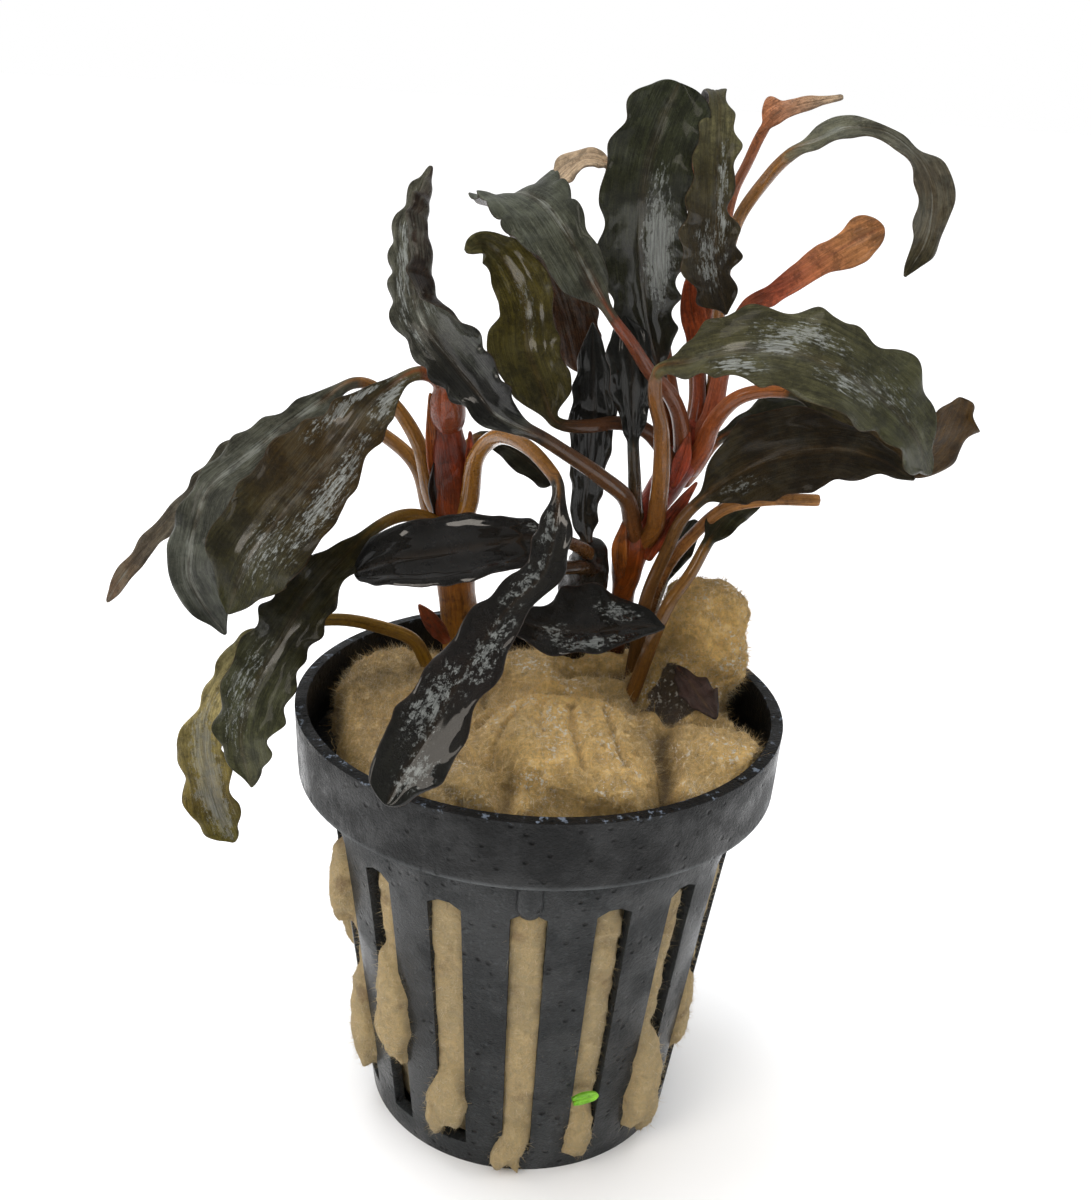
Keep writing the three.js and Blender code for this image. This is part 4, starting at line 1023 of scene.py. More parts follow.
# Leaves: how many points of the line are stalk, the line, how far the blade reaches to each side of it with
# the tip pointing away, and the colours above and below. The left side is as the right one, and the underside
# as the upper one, where nothing is said. A patch has its place along and across, its reach along and across,
# and its strength.
LEAVES = {
    "leaf_left_front": dict(
        stalk=4, finish="dark", round_from=0.96, root=(-10.8, 8.5, 71.6),
        stalk_radii=[1.0, 1.85, 1.8, 1.15, 0.85, 0.7],
        spine=[(-11, 7.4, 75.4), (-11.4, 7, 77.2), (-12.5, 6, 78.3), (-14, 5, 78.5), (-17.5, 3, 76.5),
            (-21.5, 0, 71), (-25.5, -3, 66), (-28.5, -5, 62), (-30.5, -6, 56.5)],
        right=[0.6, 0.9, 1.7, 2.9, 4.1, 5.1, 5.4, 5.4, 5.4, 5.1, 4.1, 2.3, 0.6],
        left=[0.6, 2.0, 3.2, 3.7, 3.9, 4.5, 5.0, 5.4, 5.7, 5.9, 5.0, 2.9, 0.6], face=[(-0.2, -0.85, 0.5)],
        upper=[0x585A4E, 0x50401A, 0x4E3E16, 0x46432A, 0x4A4E30], under=[0x4E3E22, 0x45401F],
        stem=[0x7C2E10, 0x96482A, 0x8A4A28],
        films_and_reflections=[(0.12, -0.5, 0.1, 0.35, 1.0), (0.22, 0.62, 0.16, 0.2, 0.9), (0.5, -0.55, 0.24, 0.3, 0.8),
            (0.75, -0.2, 0.15, 0.5, 0.45)],
        wets=[(0.3, 0.1, 0.3, 0.5, 0.8), (0.8, 0.3, 0.15, 0.5, 0.6)],
    ),
    "leaf_left_middle": dict(
        stalk=5, finish="silver", round_from=0.96, root=(-10.7, 10.3, 61.4), stalk_radii=[1.0, 0.6],
        spine=[(-12.5, 10.5, 64), (-14, 11, 69.5), (-16.5, 11, 73.5), (-19, 9.5, 76), (-20.5, 8, 76.5),
            (-25.5, 5, 73.5), (-30, 2, 70), (-33.5, 0, 67), (-34.5, -1.5, 63.5), (-35, -2.5, 59),
            (-33.5, -3, 56), (-31.5, -3, 53)],
        right=[0.6, 0.9, 1.5, 2.0, 2.3, 2.3, 1.8, 1.6, 2.6, 2.4, 2.2, 1.1, 0.4],
        left=[0.6, 2.0, 3.6, 3.9, 3.6, 3.1, 4.3, 4.3, 2.7, 4.0, 3.2, 2.2, 0.5], face=[(-0.3, -0.8, 0.5)],
        upper=[0x585A52, 0x5E605A, 0x5A5E5A, 0x565C5A], under=[0x564326, 0x524024],
        stem=[0xA8702C, 0xB07C34, 0xA07038],
    ),
    "leaf_left_back": dict(
        stalk=5, finish="silver", root=(-10.6, 11.3, 58.4), stalk_radii=[0.95, 0.6],
        spine=[(-12.8, 12.5, 61.5), (-14.5, 13.5, 66.5), (-18, 14, 69.5), (-22.5, 13, 72), (-26.5, 12, 71.5),
            (-32, 10, 69), (-36, 9, 65), (-39.5, 8, 61), (-42.5, 7.5, 57.5), (-45, 7, 54), (-46.5, 7, 51.5)],
        right=[0.6, 1.4, 1.4, 1.2, 1, 1, 0.8], left=[0.6, 2, 2.2, 1.6, 1.2, 1.2, 0.6],
        face=[(-0.3, -0.5, 0.8), (-0.2, -0.9, 0.3)], upper=[0x5A5C52, 0x6A6A62, 0x76726A, 0x807468, 0x8A6A50],
        under=[0x7A4A34, 0x8A5A44], stem=[0xA8702C, 0xB27E38, 0xA07038],
    ),
    "leaf_left_low": dict(
        stalk=4, finish="dark", round_from=0.96, ruffle=(0.5, 4.5), frill=(0.6, 3.6, 0.4),
        root=(-10.5, 10.6, 59.8),
        spine=[(-11.5, 9, 61.5), (-12.8, 8, 62.7), (-15, 6, 63.5), (-17.5, 3, 63), (-20.5, 0, 60.5),
            (-23, -3, 58), (-25.5, -6, 54), (-27.5, -8, 50.5), (-28.5, -9.5, 47.5), (-28.5, -10.5, 44.5),
            (-27.5, -11, 40.5)],
        right=[0.6, 1.1, 2.0, 2.3, 2.9, 3.3, 3.0, 3.3, 3.0, 2.6, 2.5, 1.2, 0.3],
        left=[0.6, 1.2, 1.8, 2.5, 3.0, 3.5, 3.1, 3.9, 3.9, 4.4, 3.2, 2.7, 0.6],
        upper=[0x4E481A, 0x3A360F, 0x34361E, 0x5E665A, 0x6A7064], under=[0x6A5A20, 0x4E4A20],
        stem=[0x9A7430, 0x94702C, 0x7E6A24], films_and_reflections=[(0.7, 0.3, 0.2, 0.5, 0.5)],
        wets=[(0.45, 0.2, 0.3, 0.6, 0.8)],
    ),
    "leaf_left_tip": dict(
        stalk=6, finish="olive", round_from=0.96, ruffle=(0.5, 3.5), frill=(0.6, 3.6, 0.4),
        spine=[(-12.5, 9, 45.5), (-14, 8.5, 48.5), (-17.5, 8, 50), (-21, 6, 51.5), (-24, 4, 52),
            (-26.5, 2, 52), (-29.5, 0, 50.5), (-32.5, -1, 47), (-34, -2, 43.5), (-34, -3, 40.5),
            (-33.5, -3.5, 37.5), (-32.5, -4, 33.5), (-31, -4.5, 30)],
        right=[0.6, 1.3, 2.1, 1.5, 1.3, 1.1, 1.7, 3.2, 2.8, 3.3, 3.1, 2.3, 0.8],
        left=[0.6, 1.1, 1.5, 2.1, 2.2, 1.7, 1.4, 1.9, 2.5, 2.0, 2.3, 1.7, 0.6],
        upper=[0x70705A, 0x8E8C76, 0xB8B096, 0x9A9066, 0x74683A, 0x74703A], under=[0x8A8460, 0x66642E],
        stem=[0xA8822C, 0xA07C2C, 0x80702A],
        films_and_reflections=[(0.72, 0.0, 0.28, 0.5, 1.6), (0.5, 0.2, 0.1, 0.5, 1.0)],
    ),
    "leaf_wet_flat": dict(
        stalk=3, finish="wet", round_from=0.96, ruffle=(0.15, 3.5), frill=(0.08, 5.0, 0.12), cup=6,
        pleat=0.22, root=(4.8, 6.2, 59.4),
        spine=[(4, 5, 61), (2.5, 3, 62.5), (0.5, 0, 64), (-2, -1.5, 64.5), (-4.5, -2, 64), (-10.5, -2, 62.5),
            (-15, -2, 61.5), (-19, -1, 59.5)],
        right=[0.8, 2.3, 2.5, 3.1, 3.6, 4.1, 4.2, 4.3, 4.2, 4.1, 3.8, 3.1, 1.4],
        left=[0.8, 3.1, 3.9, 3.8, 3.7, 4.1, 4.3, 4.1, 3.9, 3.5, 2.8, 1.9, 1.0], face=[(0, -0.6, 0.8)],
        upper=[0x1E1A14, 0x1C1812, 0x1A1A16], under=[0x2A2018], stem=[0x6A4A28, 0x5A4026],
        films_and_reflections=[(0.1, 0.5, 0.08, 0.3, 0.5)], wets=[(0.5, 0.0, 0.6, 1.0, 1.0)],
    ),
    "leaf_front_long": dict(
        stalk=6, finish="wet", round_from=0.96, ruffle=(0.3, 3), frill=(0.35, 5.0, 0.3), pleat=0.05,
        root=(-10.1, 10.4, 61), stalk_radii=[1.1, 0.6],
        spine=[(-8.6, 8.5, 64), (-7.8, 6, 70), (-5.5, 2, 73.5), (-2.5, -3, 74), (-0.5, -6, 73),
            (0.5, -7.5, 72), (0.5, -10, 68.5), (-0.5, -13, 65), (-3, -15.5, 63), (-5.5, -18, 60),
            (-7.5, -20.5, 57), (-9.5, -23, 53.5), (-11.5, -25, 50.5), (-12.5, -26.5, 48.5)],
        right=[0.5, 1.5, 1.8, 2.0, 2.0, 2.3, 2.6, 2.7, 3.1, 3.5, 3.4, 3.0, 1.4],
        left=[0.5, 1.2, 1.9, 1.8, 1.6, 1.8, 2.8, 3.1, 2.8, 3.2, 3.6, 2.9, 1.4], face=[(0, -0.8, 0.6)],
        upper=[0x2C2A24, 0x2A2822, 0x242018, 0x281C16, 0x26241C, 0x20241C], under=[0x2E241C],
        stem=[0xB07A2C, 0xAC782E, 0x8A6030],
        films_and_reflections=[(0.12, 0.3, 0.1, 0.4, 0.7), (0.3, 0.3, 0.12, 0.4, 0.62), (0.52, -0.3, 0.14, 0.45, 0.66),
            (0.72, 0.3, 0.13, 0.45, 0.72), (0.9, -0.3, 0.08, 0.5, 0.66)],
        wets=[(0.2, 0.0, 0.2, 0.8, 1.0), (0.6, 0.4, 0.25, 0.5, 0.8)],
    ),
    "leaf_silver": dict(
        stalk=5, finish="silver", round_from=0.96, ruffle=(0.45, 5), frill=(0.75, 3.0, 0.4),
        root=(9, 7, 61.5), stalk_radii=[1.0, 0.65],
        spine=[(8.3, 5, 64.5), (7.5, 3, 67.5), (4.5, -1, 71), (1, -4, 74), (-1.5, -6, 76), (-5.5, -7, 78),
            (-7.5, -6, 80), (-10, -5, 82.5), (-12, -4, 84.5), (-13.5, -2, 87), (-14, 0, 90),
            (-14.5, 2, 92.5), (-14, 4, 95), (-13, 6, 98)],
        right=[0.6, 1.6, 2.8, 3.2, 4.2, 5.6, 6.2, 6.4, 6.2, 5.8, 4.8, 2.8, 0.7],
        left=[0.6, 1.0, 1.5, 2.2, 2.5, 2.4, 2.4, 2.2, 2.2, 1.7, 1.4, 1.0, 0.4],
        curl_right=[0, 0, 0, 15, 90, 170, 190, 185, 190, 180, 150], face=[(-0.2, -0.9, 0.3)],
        upper=[0x181814, 0x1C1C18, 0x2A2A26, 0x5E605C, 0x74766F, 0x7A7C76, 0x6A6A62],
        under=[0x241A12, 0x3A281A], stem=[0x7A4A26, 0x6A4624, 0x4A3420],
        films_and_reflections=[(0.72, -0.25, 0.2, 0.18, 0.9), (0.6, -0.5, 0.2, 0.12, 0.8), (0.5, 0.25, 0.12, 0.1, 0.6)],
        wets=[(0.22, 0.1, 0.22, 0.9, 1.0)],
    ),
    "leaf_olive": dict(
        stalk=5, finish="olive", round_from=0.96, root=(12.3, 8.2, 68.6), stalk_radii=[0.9, 0.6],
        spine=[(11.5, 6.5, 71), (9, 5.6, 74), (6, 4, 75), (3, 2, 75), (0, 1, 75.5), (-1.5, 2, 78.5),
            (-3, 3, 82), (-3.5, 5, 85), (-4.5, 6, 87.5), (-6.5, 7.5, 90), (-8, 7, 91), (-9.5, 5.5, 90.5)],
        right=[0.6, 2.6, 3.0, 3.1, 3.2, 3.0, 2.8, 3.1, 3.3, 2.7, 2.0, 1.2, 0.5],
        left=[0.6, 1.9, 2.9, 3.4, 3.9, 4.1, 2.6, 2.6, 2.3, 2.0, 1.7, 1.4, 0.6],
        upper=[0x3E3A1E, 0x4C4822, 0x5A5426, 0x645E2C, 0x70705A], under=[0x5E5C28, 0x5A5A38],
        stem=[0x6A3A22, 0x5A3420, 0x44301C], films_and_reflections=[(0.55, 0.1, 0.2, 0.3, 0.55)],
        wets=[(0.5, 0.3, 0.4, 0.6, 0.8)],
    ),
    "leaf_grey_arch": dict(
        stalk=6, finish="silver", round_from=0.96, frill=(0.6, 2.8, 0.3), root=(13.2, 8.6, 69.6),
        stalk_radii=[1.0, 0.5],
        spine=[(12.8, 7, 73), (12.2, 6, 75.5), (11, 4, 78), (8.5, 1, 81), (6.5, -1, 84), (4.5, -2, 86.5),
            (2, -2, 90.5), (0, -1, 93.5), (-2, 1.5, 95.5), (-4.5, 5, 96), (-6, 9, 94.5), (-3.5, 11, 91),
            (-0.5, 12, 86.5), (1.2, 12, 82), (2.2, 12, 78)],
        right=[0.6, 1.8, 1.8, 2.3, 3.1, 4.5, 4.8, 4.1, 3.7, 3.6, 3.2, 2.8, 1.4],
        left=[0.6, 3.2, 3.3, 4.6, 4.9, 4.3, 3.7, 3.0, 2.8, 2.8, 2.8, 2.6, 1.4],
        face=[(0, -0.9, 0.4), (0, -0.9, 0.4), (0, -0.2, 1), (0, 1, 0.2), (0, 1, 0)],
        upper=[0x42443A, 0x54584E, 0x5C625A, 0x626A64, 0x565040, 0x5A3A22, 0x6A4026],
        under=[0x5A4632, 0x4E4632, 0x5E4634, 0x6A4426, 0x744A2A], stem=[0x8A4A2A, 0x8E4E2E, 0x8A4028],
    ),
    "leaf_back_small": dict(
        stalk=5, finish="young", ruffle=(0.15, 3),
        spine=[(12, 13, 75.5), (10, 15.5, 83.5), (8.5, 17, 91), (6.5, 17, 96), (4, 17, 98), (1.5, 17, 98.5),
            (0, 17, 97.5), (-1.5, 16.5, 96)],
        right=[0.6, 1.6, 2, 1.6, 1], face=[(0, -0.5, 0.85)], upper=[0x9A8A72, 0xB4A48C, 0xBEB09A],
        under=[0xA08A6A], stem=[0x9A5A34, 0x9A6240],
    ),
    "leaf_tall": dict(
        stalk=3, finish="dark", round_from=0.9, frill=(0.6, 3.7, 0.5), root=(13, 9.2, 68.6),
        stalk_radii=[1.1, 0.8],
        spine=[(12.2, 10.6, 71), (11, 9.5, 74.5), (10, 8, 79), (8, 6.5, 86), (7, 5.5, 92.5), (7, 5, 98.5),
            (8, 5.5, 103), (9.5, 7, 106.5)],
        right=[0.8, 1.8, 2.6, 3.2, 3.8, 4.3, 4.6, 4.7, 4.7, 4.6, 4.5, 4.3, 3.8],
        left=[0.8, 1.6, 2.4, 3.1, 3.6, 4.0, 4.1, 3.9, 4.3, 4.0, 3.5, 3.1, 2.6],
        upper=[0x2A2A1C, 0x363A2C, 0x3E4438, 0x424A3E, 0x404A40], under=[0x33301C], stem=[0x7A4426, 0x6A3A22],
        films_and_reflections=[(0.47, 0.38, 0.15, 0.3, 1.5), (0.38, 0.42, 0.12, 0.26, 1.3), (0.66, 0.3, 0.1, 0.2, 0.5)],
        wets=[(0.3, 0.2, 0.4, 0.9, 0.9)],
    ),
    "leaf_tall_right": dict(
        stalk=5, finish="dark", round_from=0.96, frill=(0.6, 3.4, 0.42), root=(14, 9.6, 72.4),
        stalk_radii=[1.0, 0.6],
        spine=[(14.4, 11, 76), (13.5, 14, 83.5), (13, 16, 91.5), (12.5, 15.5, 99), (12.5, 13, 104),
            (13, 9.4, 105.8), (13.3, 6, 104.4), (13.4, 4, 99.5), (13.6, 3.1, 95), (14, 2.8, 90.5),
            (15.4, 2.4, 86.4)],
        right=[0.6, 0.9, 1.0, 1.1, 1.7, 2.4, 2.8, 3.2, 3.6, 3.9, 3.7, 2.6, 0.5],
        left=[0.6, 0.9, 0.9, 1.0, 1.5, 1.9, 1.8, 1.6, 1.8, 2.3, 2.2, 1.6, 0.5],
        face=[(0, -0.2, 1), (0.3, -0.9, 0.3), (0.3, -0.9, 0.3)],
        upper=[0x50503E, 0x50503E, 0x8A8C80, 0x605E4A, 0x504834, 0x463C26, 0x3A301C], under=[0x3A3020],
        stem=[0x9A5A30, 0x9A5A34],
        films_and_reflections=[(0.6, -0.3, 0.2, 0.3, 0.8), (0.8, 0.2, 0.12, 0.4, 0.7)], wets=[(0.7, 0.3, 0.3, 0.6, 0.9)],
    ),
    "leaf_young_top": dict(
        stalk=6, finish="young", round_from=0.96, ruffle=(0.1, 2), frill=(0.1, 3.0, 0.1),
        root=(13.9, 10, 70.4), stalk_radii=[0.6, 0.5],
        spine=[(14.6, 13, 73), (14.8, 15, 80.5), (15.5, 14, 89), (16, 12, 96.5), (17, 11, 99.5),
            (18, 10, 102.5), (19, 9.5, 104), (21, 9, 105), (23, 9, 105.5), (25, 9, 106)],
        right=[0.5, 0.6, 1.0, 1.2, 1.2, 1.2, 1.1, 1.0, 0.8, 0.6, 0.5, 0.4, 0.3],
        left=[0.5, 0.7, 1.4, 2.0, 1.1, 0.9, 0.8, 0.8, 0.8, 0.6, 0.4, 0.3, 0.2], face=[(0, -0.7, 0.7)],
        upper=[0xB8744A, 0xAE8062, 0xA89078, 0xB0A28C], under=[0xB07A54, 0xAA8E74],
        stem=[0xA85232, 0xBA6A44, 0xC07A4C],
    ),
    "leaf_arch_right": dict(
        stalk=6, finish="silver", round_from=0.96, rib=0x6E5428, root=(14, 9.4, 69.4), stalk_radii=[0.7, 0.6],
        spine=[(15.6, 10.6, 72), (15.8, 11, 80), (15.6, 10, 87.5), (16.2, 8.6, 94), (18, 6.5, 98),
            (20, 4, 101), (22.5, 3, 102.5), (24.5, 2, 103.5), (27.5, 1, 103.5), (30.5, 0, 101.5),
            (32, -1, 98.5), (32, -1, 94.5), (30.5, -2, 91.5)],
        right=[0.6, 0.9, 1.1, 1.8, 1.4, 1.3, 2.0, 1.5, 1.8, 2.3, 1.4, 0.9, 0.3],
        left=[0.6, 1.2, 1.8, 1.3, 0.9, 0.7, 1.1, 2.2, 2.5, 1.5, 1.7, 1.0, 0.3], face=[(0.2, -0.6, 0.7)],
        upper=[0x7E7C68, 0x7A7C70, 0x72726A, 0x6E675C, 0x6A6252, 0x4E4A2C], under=[0x7A6A54, 0x706048],
        stem=[0xA86A34, 0xB07A3A, 0xA8763A],
    ),
    "leaf_young_red": dict(
        stalk=4, finish="young", round_from=0.96, ruffle=(0.12, 3), frill=(0.12, 4.0, 0.12), rib=0x8A4630,
        root=(14.2, 9.2, 71.4), stalk_radii=[1.2, 0.6],
        spine=[(15.6, 8.4, 75), (16.2, 8.6, 79.5), (17, 8.4, 83.5), (18, 8, 86.5), (21.5, 7, 89),
            (24.5, 6, 91.5), (27, 5, 93.5), (29.5, 4.5, 95)],
        right=[0.6, 1.2, 1.6, 1.4, 1.3, 1.3, 1.4, 1.5, 1.9, 2.4, 2.4, 1.8, 0.9],
        left=[0.6, 0.6, 0.6, 0.9, 1.1, 1.3, 1.5, 1.5, 1.4, 1.5, 1.9, 1.8, 0.9],
        upper=[0xA05438, 0xA8583E, 0xB0704C, 0xB27E50, 0xAC7A4C], under=[0xB27A52, 0xAE7A4E],
        stem=[0xB05C38, 0xB4623E],
    ),
    "leaf_right_front": dict(
        stalk=6, finish="dark", round_from=0.96, frill=(0.5, 4.3, 0.5), root=(9.8, 7, 61.6),
        stalk_radii=[1.05, 0.65],
        spine=[(10.6, 5, 64), (10.6, 3.4, 66.5), (10.5, 1, 70.5), (10, -1, 76), (9, -3, 79.5), (9, -4, 82),
            (11.5, -6, 83.5), (15, -8, 85), (19.5, -9, 85.5), (24, -10, 84.5), (28, -9, 82), (31.5, -8, 79),
            (34.5, -6, 74.5)],
        right=[0.6, 1.7, 2.2, 3.1, 4.1, 4.4, 4.6, 5.2, 4.1, 3.4, 3.5, 2.5, 0.6],
        left=[0.6, 1.7, 2.8, 4.0, 4.1, 4.4, 4.5, 4.0, 4.9, 5.0, 3.2, 2.1, 0.5], face=[(0.1, -0.75, 0.65)],
        upper=[0x66685A, 0x686A5C, 0x62665A, 0x5C6252, 0x62685E], under=[0x3A3826],
        stem=[0x8A5A2C, 0x966634, 0x8A5C30],
        films_and_reflections=[(0.26, 0.5, 0.07, 0.3, 0.95), (0.37, -0.1, 0.06, 0.2, 1.1), (0.42, -0.45, 0.12, 0.25, 0.8),
            (0.58, 0.2, 0.12, 0.3, 0.6), (0.7, -0.2, 0.15, 0.4, 0.4)],
        wets=[(0.4, 0.1, 0.3, 0.5, 0.8)],
    ),
    "leaf_right_back": dict(
        stalk=5, finish="olive", round_from=0.96,
        spine=[(9.6, 5.4, 47), (10.5, 5, 56.5), (12, 4, 62), (13, 3, 65.5), (14.5, 2, 68), (18, 1, 71.5),
            (22.5, 0, 74), (27, -1, 75), (30.5, -2, 74.5), (34, -3, 73)],
        right=[0.6, 1.8, 2.9, 3.8, 4.4, 4.6, 4.6, 4.4, 4.0, 3.4, 2.0, 1.1, 0.4],
        left=[0.6, 1.8, 2.8, 3.8, 4.6, 4.9, 4.7, 3.7, 2.8, 2.2, 1.6, 0.9, 0.4], face=[(0, -0.8, 0.6)],
        upper=[0x322C12, 0x2C2209, 0x281E08, 0x2E260C], under=[0x3E361C], stem=[0x6A4A24, 0x7A5428, 0x6A4A26],
        films_and_reflections=[(0.2, 0.4, 0.15, 0.25, 0.5)],
    ),
    "leaf_right_inner": dict(
        stalk=3, finish="dark", root=(13.2, 9.4, 67.6), stalk_radii=[1.0, 0.6],
        spine=[(15, 11.5, 69), (15.8, 11.5, 70.5), (17, 11.5, 72), (19.5, 11.5, 73.5), (23, 12, 75),
            (28.5, 13, 75.5), (34, 14, 74.5)],
        right=[0.6, 1.8, 2.4, 2.2, 1.2], upper=[0x3E423C, 0x3A403A, 0x383C36], under=[0x34301E],
        stem=[0xB8643C, 0xB06A3A],
    ),
    "leaf_right_twisted": dict(
        stalk=5, finish="olive", round_from=0.94, frill=(0.4, 3.0, 0.35), root=(13.8, 8.8, 69),
        stalk_radii=[1.1, 0.6],
        spine=[(15, 7.4, 72), (15.6, 6, 75), (17.5, 4.5, 78), (20, 4, 79), (22.5, 4, 79), (27.5, 5, 77.5),
            (32.5, 5.5, 74.5), (36, 4, 73), (37.5, 3, 75), (38, 2, 77.5), (38.5, 2, 80)],
        right=[0.6, 1.8, 2.4, 2.2, 2.1, 2.3, 2.5, 2.6, 2.2],
        face=[(0, -0.8, 0.6), (0.2, -0.9, 0.2), (0.4, -0.9, 0)],
        upper=[0x3E3A20, 0x423818, 0x503A14, 0x5A4218], under=[0x50380F], stem=[0xB4583A, 0xB8663E, 0xAE6A3A],
    ),
    "leaf_small_back": dict(
        stalk=4, finish="dark",
        spine=[(9.6, 1.6, 47), (12.4, 1.6, 57), (14.5, 3, 60), (16, 4, 63), (17.5, 5.5, 65), (19.5, 7, 66.5),
            (22, 8.5, 68)],
        right=[0.6, 1.6, 1.8, 1.4, 0.8], upper=[0x3A3C2C, 0x565838], under=[0x3A3820],
        stem=[0x8A6230, 0x8A642E],
    ),
    "leaf_low_back": dict(
        stalk=2, finish="dark",
        spine=[(10.6, 11.4, 47), (12.5, 11, 56), (13.5, 11.5, 58), (14.5, 11.5, 60.5), (15.5, 11.5, 63)],
        right=[0.6, 1.2, 1.4, 0.8], upper=[0x3A4040, 0x343A3A], under=[0x2E3030], stem=[0x5A4A2C],
    ),
    "leaf_dark_centre": dict(
        stalk=1, finish="wet", frill=(0.35, 4.0, 0.2), pleat=0.35,
        spine=[(4, 6.1, 61.6), (3.6, 5.8, 63.3), (3.4, 5.3, 66), (3.5, 4.8, 69.3), (3.6, 4.6, 75.6),
            (3.3, 5, 80), (3, 5.6, 84.4)],
        right=[0.9, 1.4, 1.5, 1.6, 1.8, 1.9, 2.1, 2.3, 2.4, 2.3, 2.0, 1.6, 1.1, 0.4],
        left=[0.9, 1.3, 1.4, 1.6, 1.7, 1.9, 2.2, 2.4, 2.4, 2.2, 1.9, 1.5, 1.1, 0.4],
        upper=[0x242620, 0x2A2E2C], under=[0x22201A], stem=[0x4A3A24, 0x3A3020],
    ),
    "leaf_dark_inner": dict(
        stalk=4, finish="wet", pleat=0.4, root=(9.2, 7, 63.4),
        spine=[(8.6, 5.2, 66), (8.3, 4, 68), (8, 3, 70.5), (7.7, 2.7, 73), (7.4, 2.5, 76.5),
            (7.2, 2.5, 79.5), (6.6, 3, 82.5), (6, 4, 85.5)],
        right=[0.5, 1.1, 1.9, 2.4, 2.4, 2.0, 0.8], left=[0.5, 1.2, 1.9, 2.4, 2.4, 2.0, 0.8],
        upper=[0x242820, 0x282C26], under=[0x22201A], stem=[0x4A3A22, 0x3A3020],
    ),
    "leaf_small_left": dict(
        stalk=3, finish="dark", root=(-10.2, 11.6, 61),
        spine=[(-9.8, 14, 64), (-9.6, 15.6, 68), (-8, 16, 69.5), (-5.5, 15, 69), (-2.5, 14, 67.5),
            (0, 13, 65.5)],
        right=[0.6, 1.4, 1.7, 1.2], upper=[0x34362E, 0x2E3028], under=[0x2E2C1C], stem=[0xA87030, 0x8A6030],
    ),
    "leaf_low_front": dict(
        stalk=4, finish="wet", round_from=0.97, frill=(0.15, 5.0, 0.15), cup=4, pleat=0.05,
        root=(4.6, 5.6, 58.8),
        spine=[(3.2, 3.2, 60), (0.5, 1.2, 60.2), (-2.6, -1.4, 59), (-3.4, -3.4, 57.2), (0, -4.6, 56.2),
            (3.5, -4.5, 56.1), (7, -3.7, 56.2), (10, -2.5, 56.2), (12, -1.7, 56)],
        right=[0.7, 1.6, 2.2, 2.5, 2.6, 2.7, 2.6, 2.4, 2.0, 1.6, 1.2, 0.8, 0.3],
        left=[0.7, 1.6, 2.6, 3.8, 4.8, 5.5, 5.6, 5.3, 4.9, 4.2, 3.2, 1.8, 0.3], face=[(0, -0.6, 0.8)],
        upper=[0x2A241C, 0x262420, 0x262824], under=[0x1E1A16], stem=[0x3A2C1E],
        films_and_reflections=[(0.72, -0.45, 0.16, 0.25, 0.75), (0.5, 0.55, 0.22, 0.3, 0.8), (0.3, 0.1, 0.12, 0.3, 0.6)],
        wets=[(0.6, 0.2, 0.4, 0.8, 1.0)],
    ),
    "leaf_young_sheath": dict(
        stalk=3, finish="young", ruffle=(0.1, 2), frill=(0.08, 4.0, 0.05), cup=40, root=(14.1, 9.4, 73),
        spine=[(14.3, 9.4, 75.5), (14.3, 9.5, 77.5), (14, 9.8, 79.5), (13.5, 10.3, 83), (12.8, 11, 85.5),
            (12.4, 11.6, 88.5)],
        right=[0.7, 1.4, 1.8, 1.4, 0.6], upper=[0x9A4A28, 0xA04E28, 0x8E4020], under=[0xA8622E, 0xB07034],
        stem=[0xA05030, 0xA05030],
    ),
}

# Loose bits, made as leaves without a stalk
SCRAPS = {
    "bud_scale": dict(
        stalk=1, frill=(0, 4.0, 0),
        spine=[(-10.6, 10.4, 47.8), (-12, 9.4, 50.2), (-13.5, 8.6, 52.6)], right=[0.6, 1.0, 0.9, 0.3],
        upper=[0x8A3E18, 0x6E2E14, 0x9A4A20],
    ),
    "dead_leaf_scrap": dict(
        stalk=1, round_from=0.98, open=0.02, frill=(0.2, 3.0, 0.2),
        spine=[(14, 3.4, 49.5), (15.5, 0, 49), (16.5, -3, 48.5), (17.5, -5.6, 48.2)],
        right=[0.3, 1.3, 1.9, 1.2, 0.3], left=[0.3, 0.9, 1.7, 1.8, 0.4], face=[(-0.3, -0.6, 0.8)],
        upper=[0x35251F, 0x3C2A24, 0x2E211C],
    ),
    "duckweed_frond": dict(
        stalk=1, round_from=0.8, open=0.02, ruffle=(0, 1), frill=(0, 4.0, 0), pleat=0.02,
        spine=[(5.6, -18.1, 10.6), (6.9, -17.8, 10.9), (8.2, -17.3, 10.9)],
        right=[0.45, 0.6, 0.62, 0.55, 0.4], left=[0.4, 0.6, 0.66, 0.6, 0.4], face=[(0, -1, 0.2)],
        upper=[0x70B41C, 0x86C82E],
    ),
}
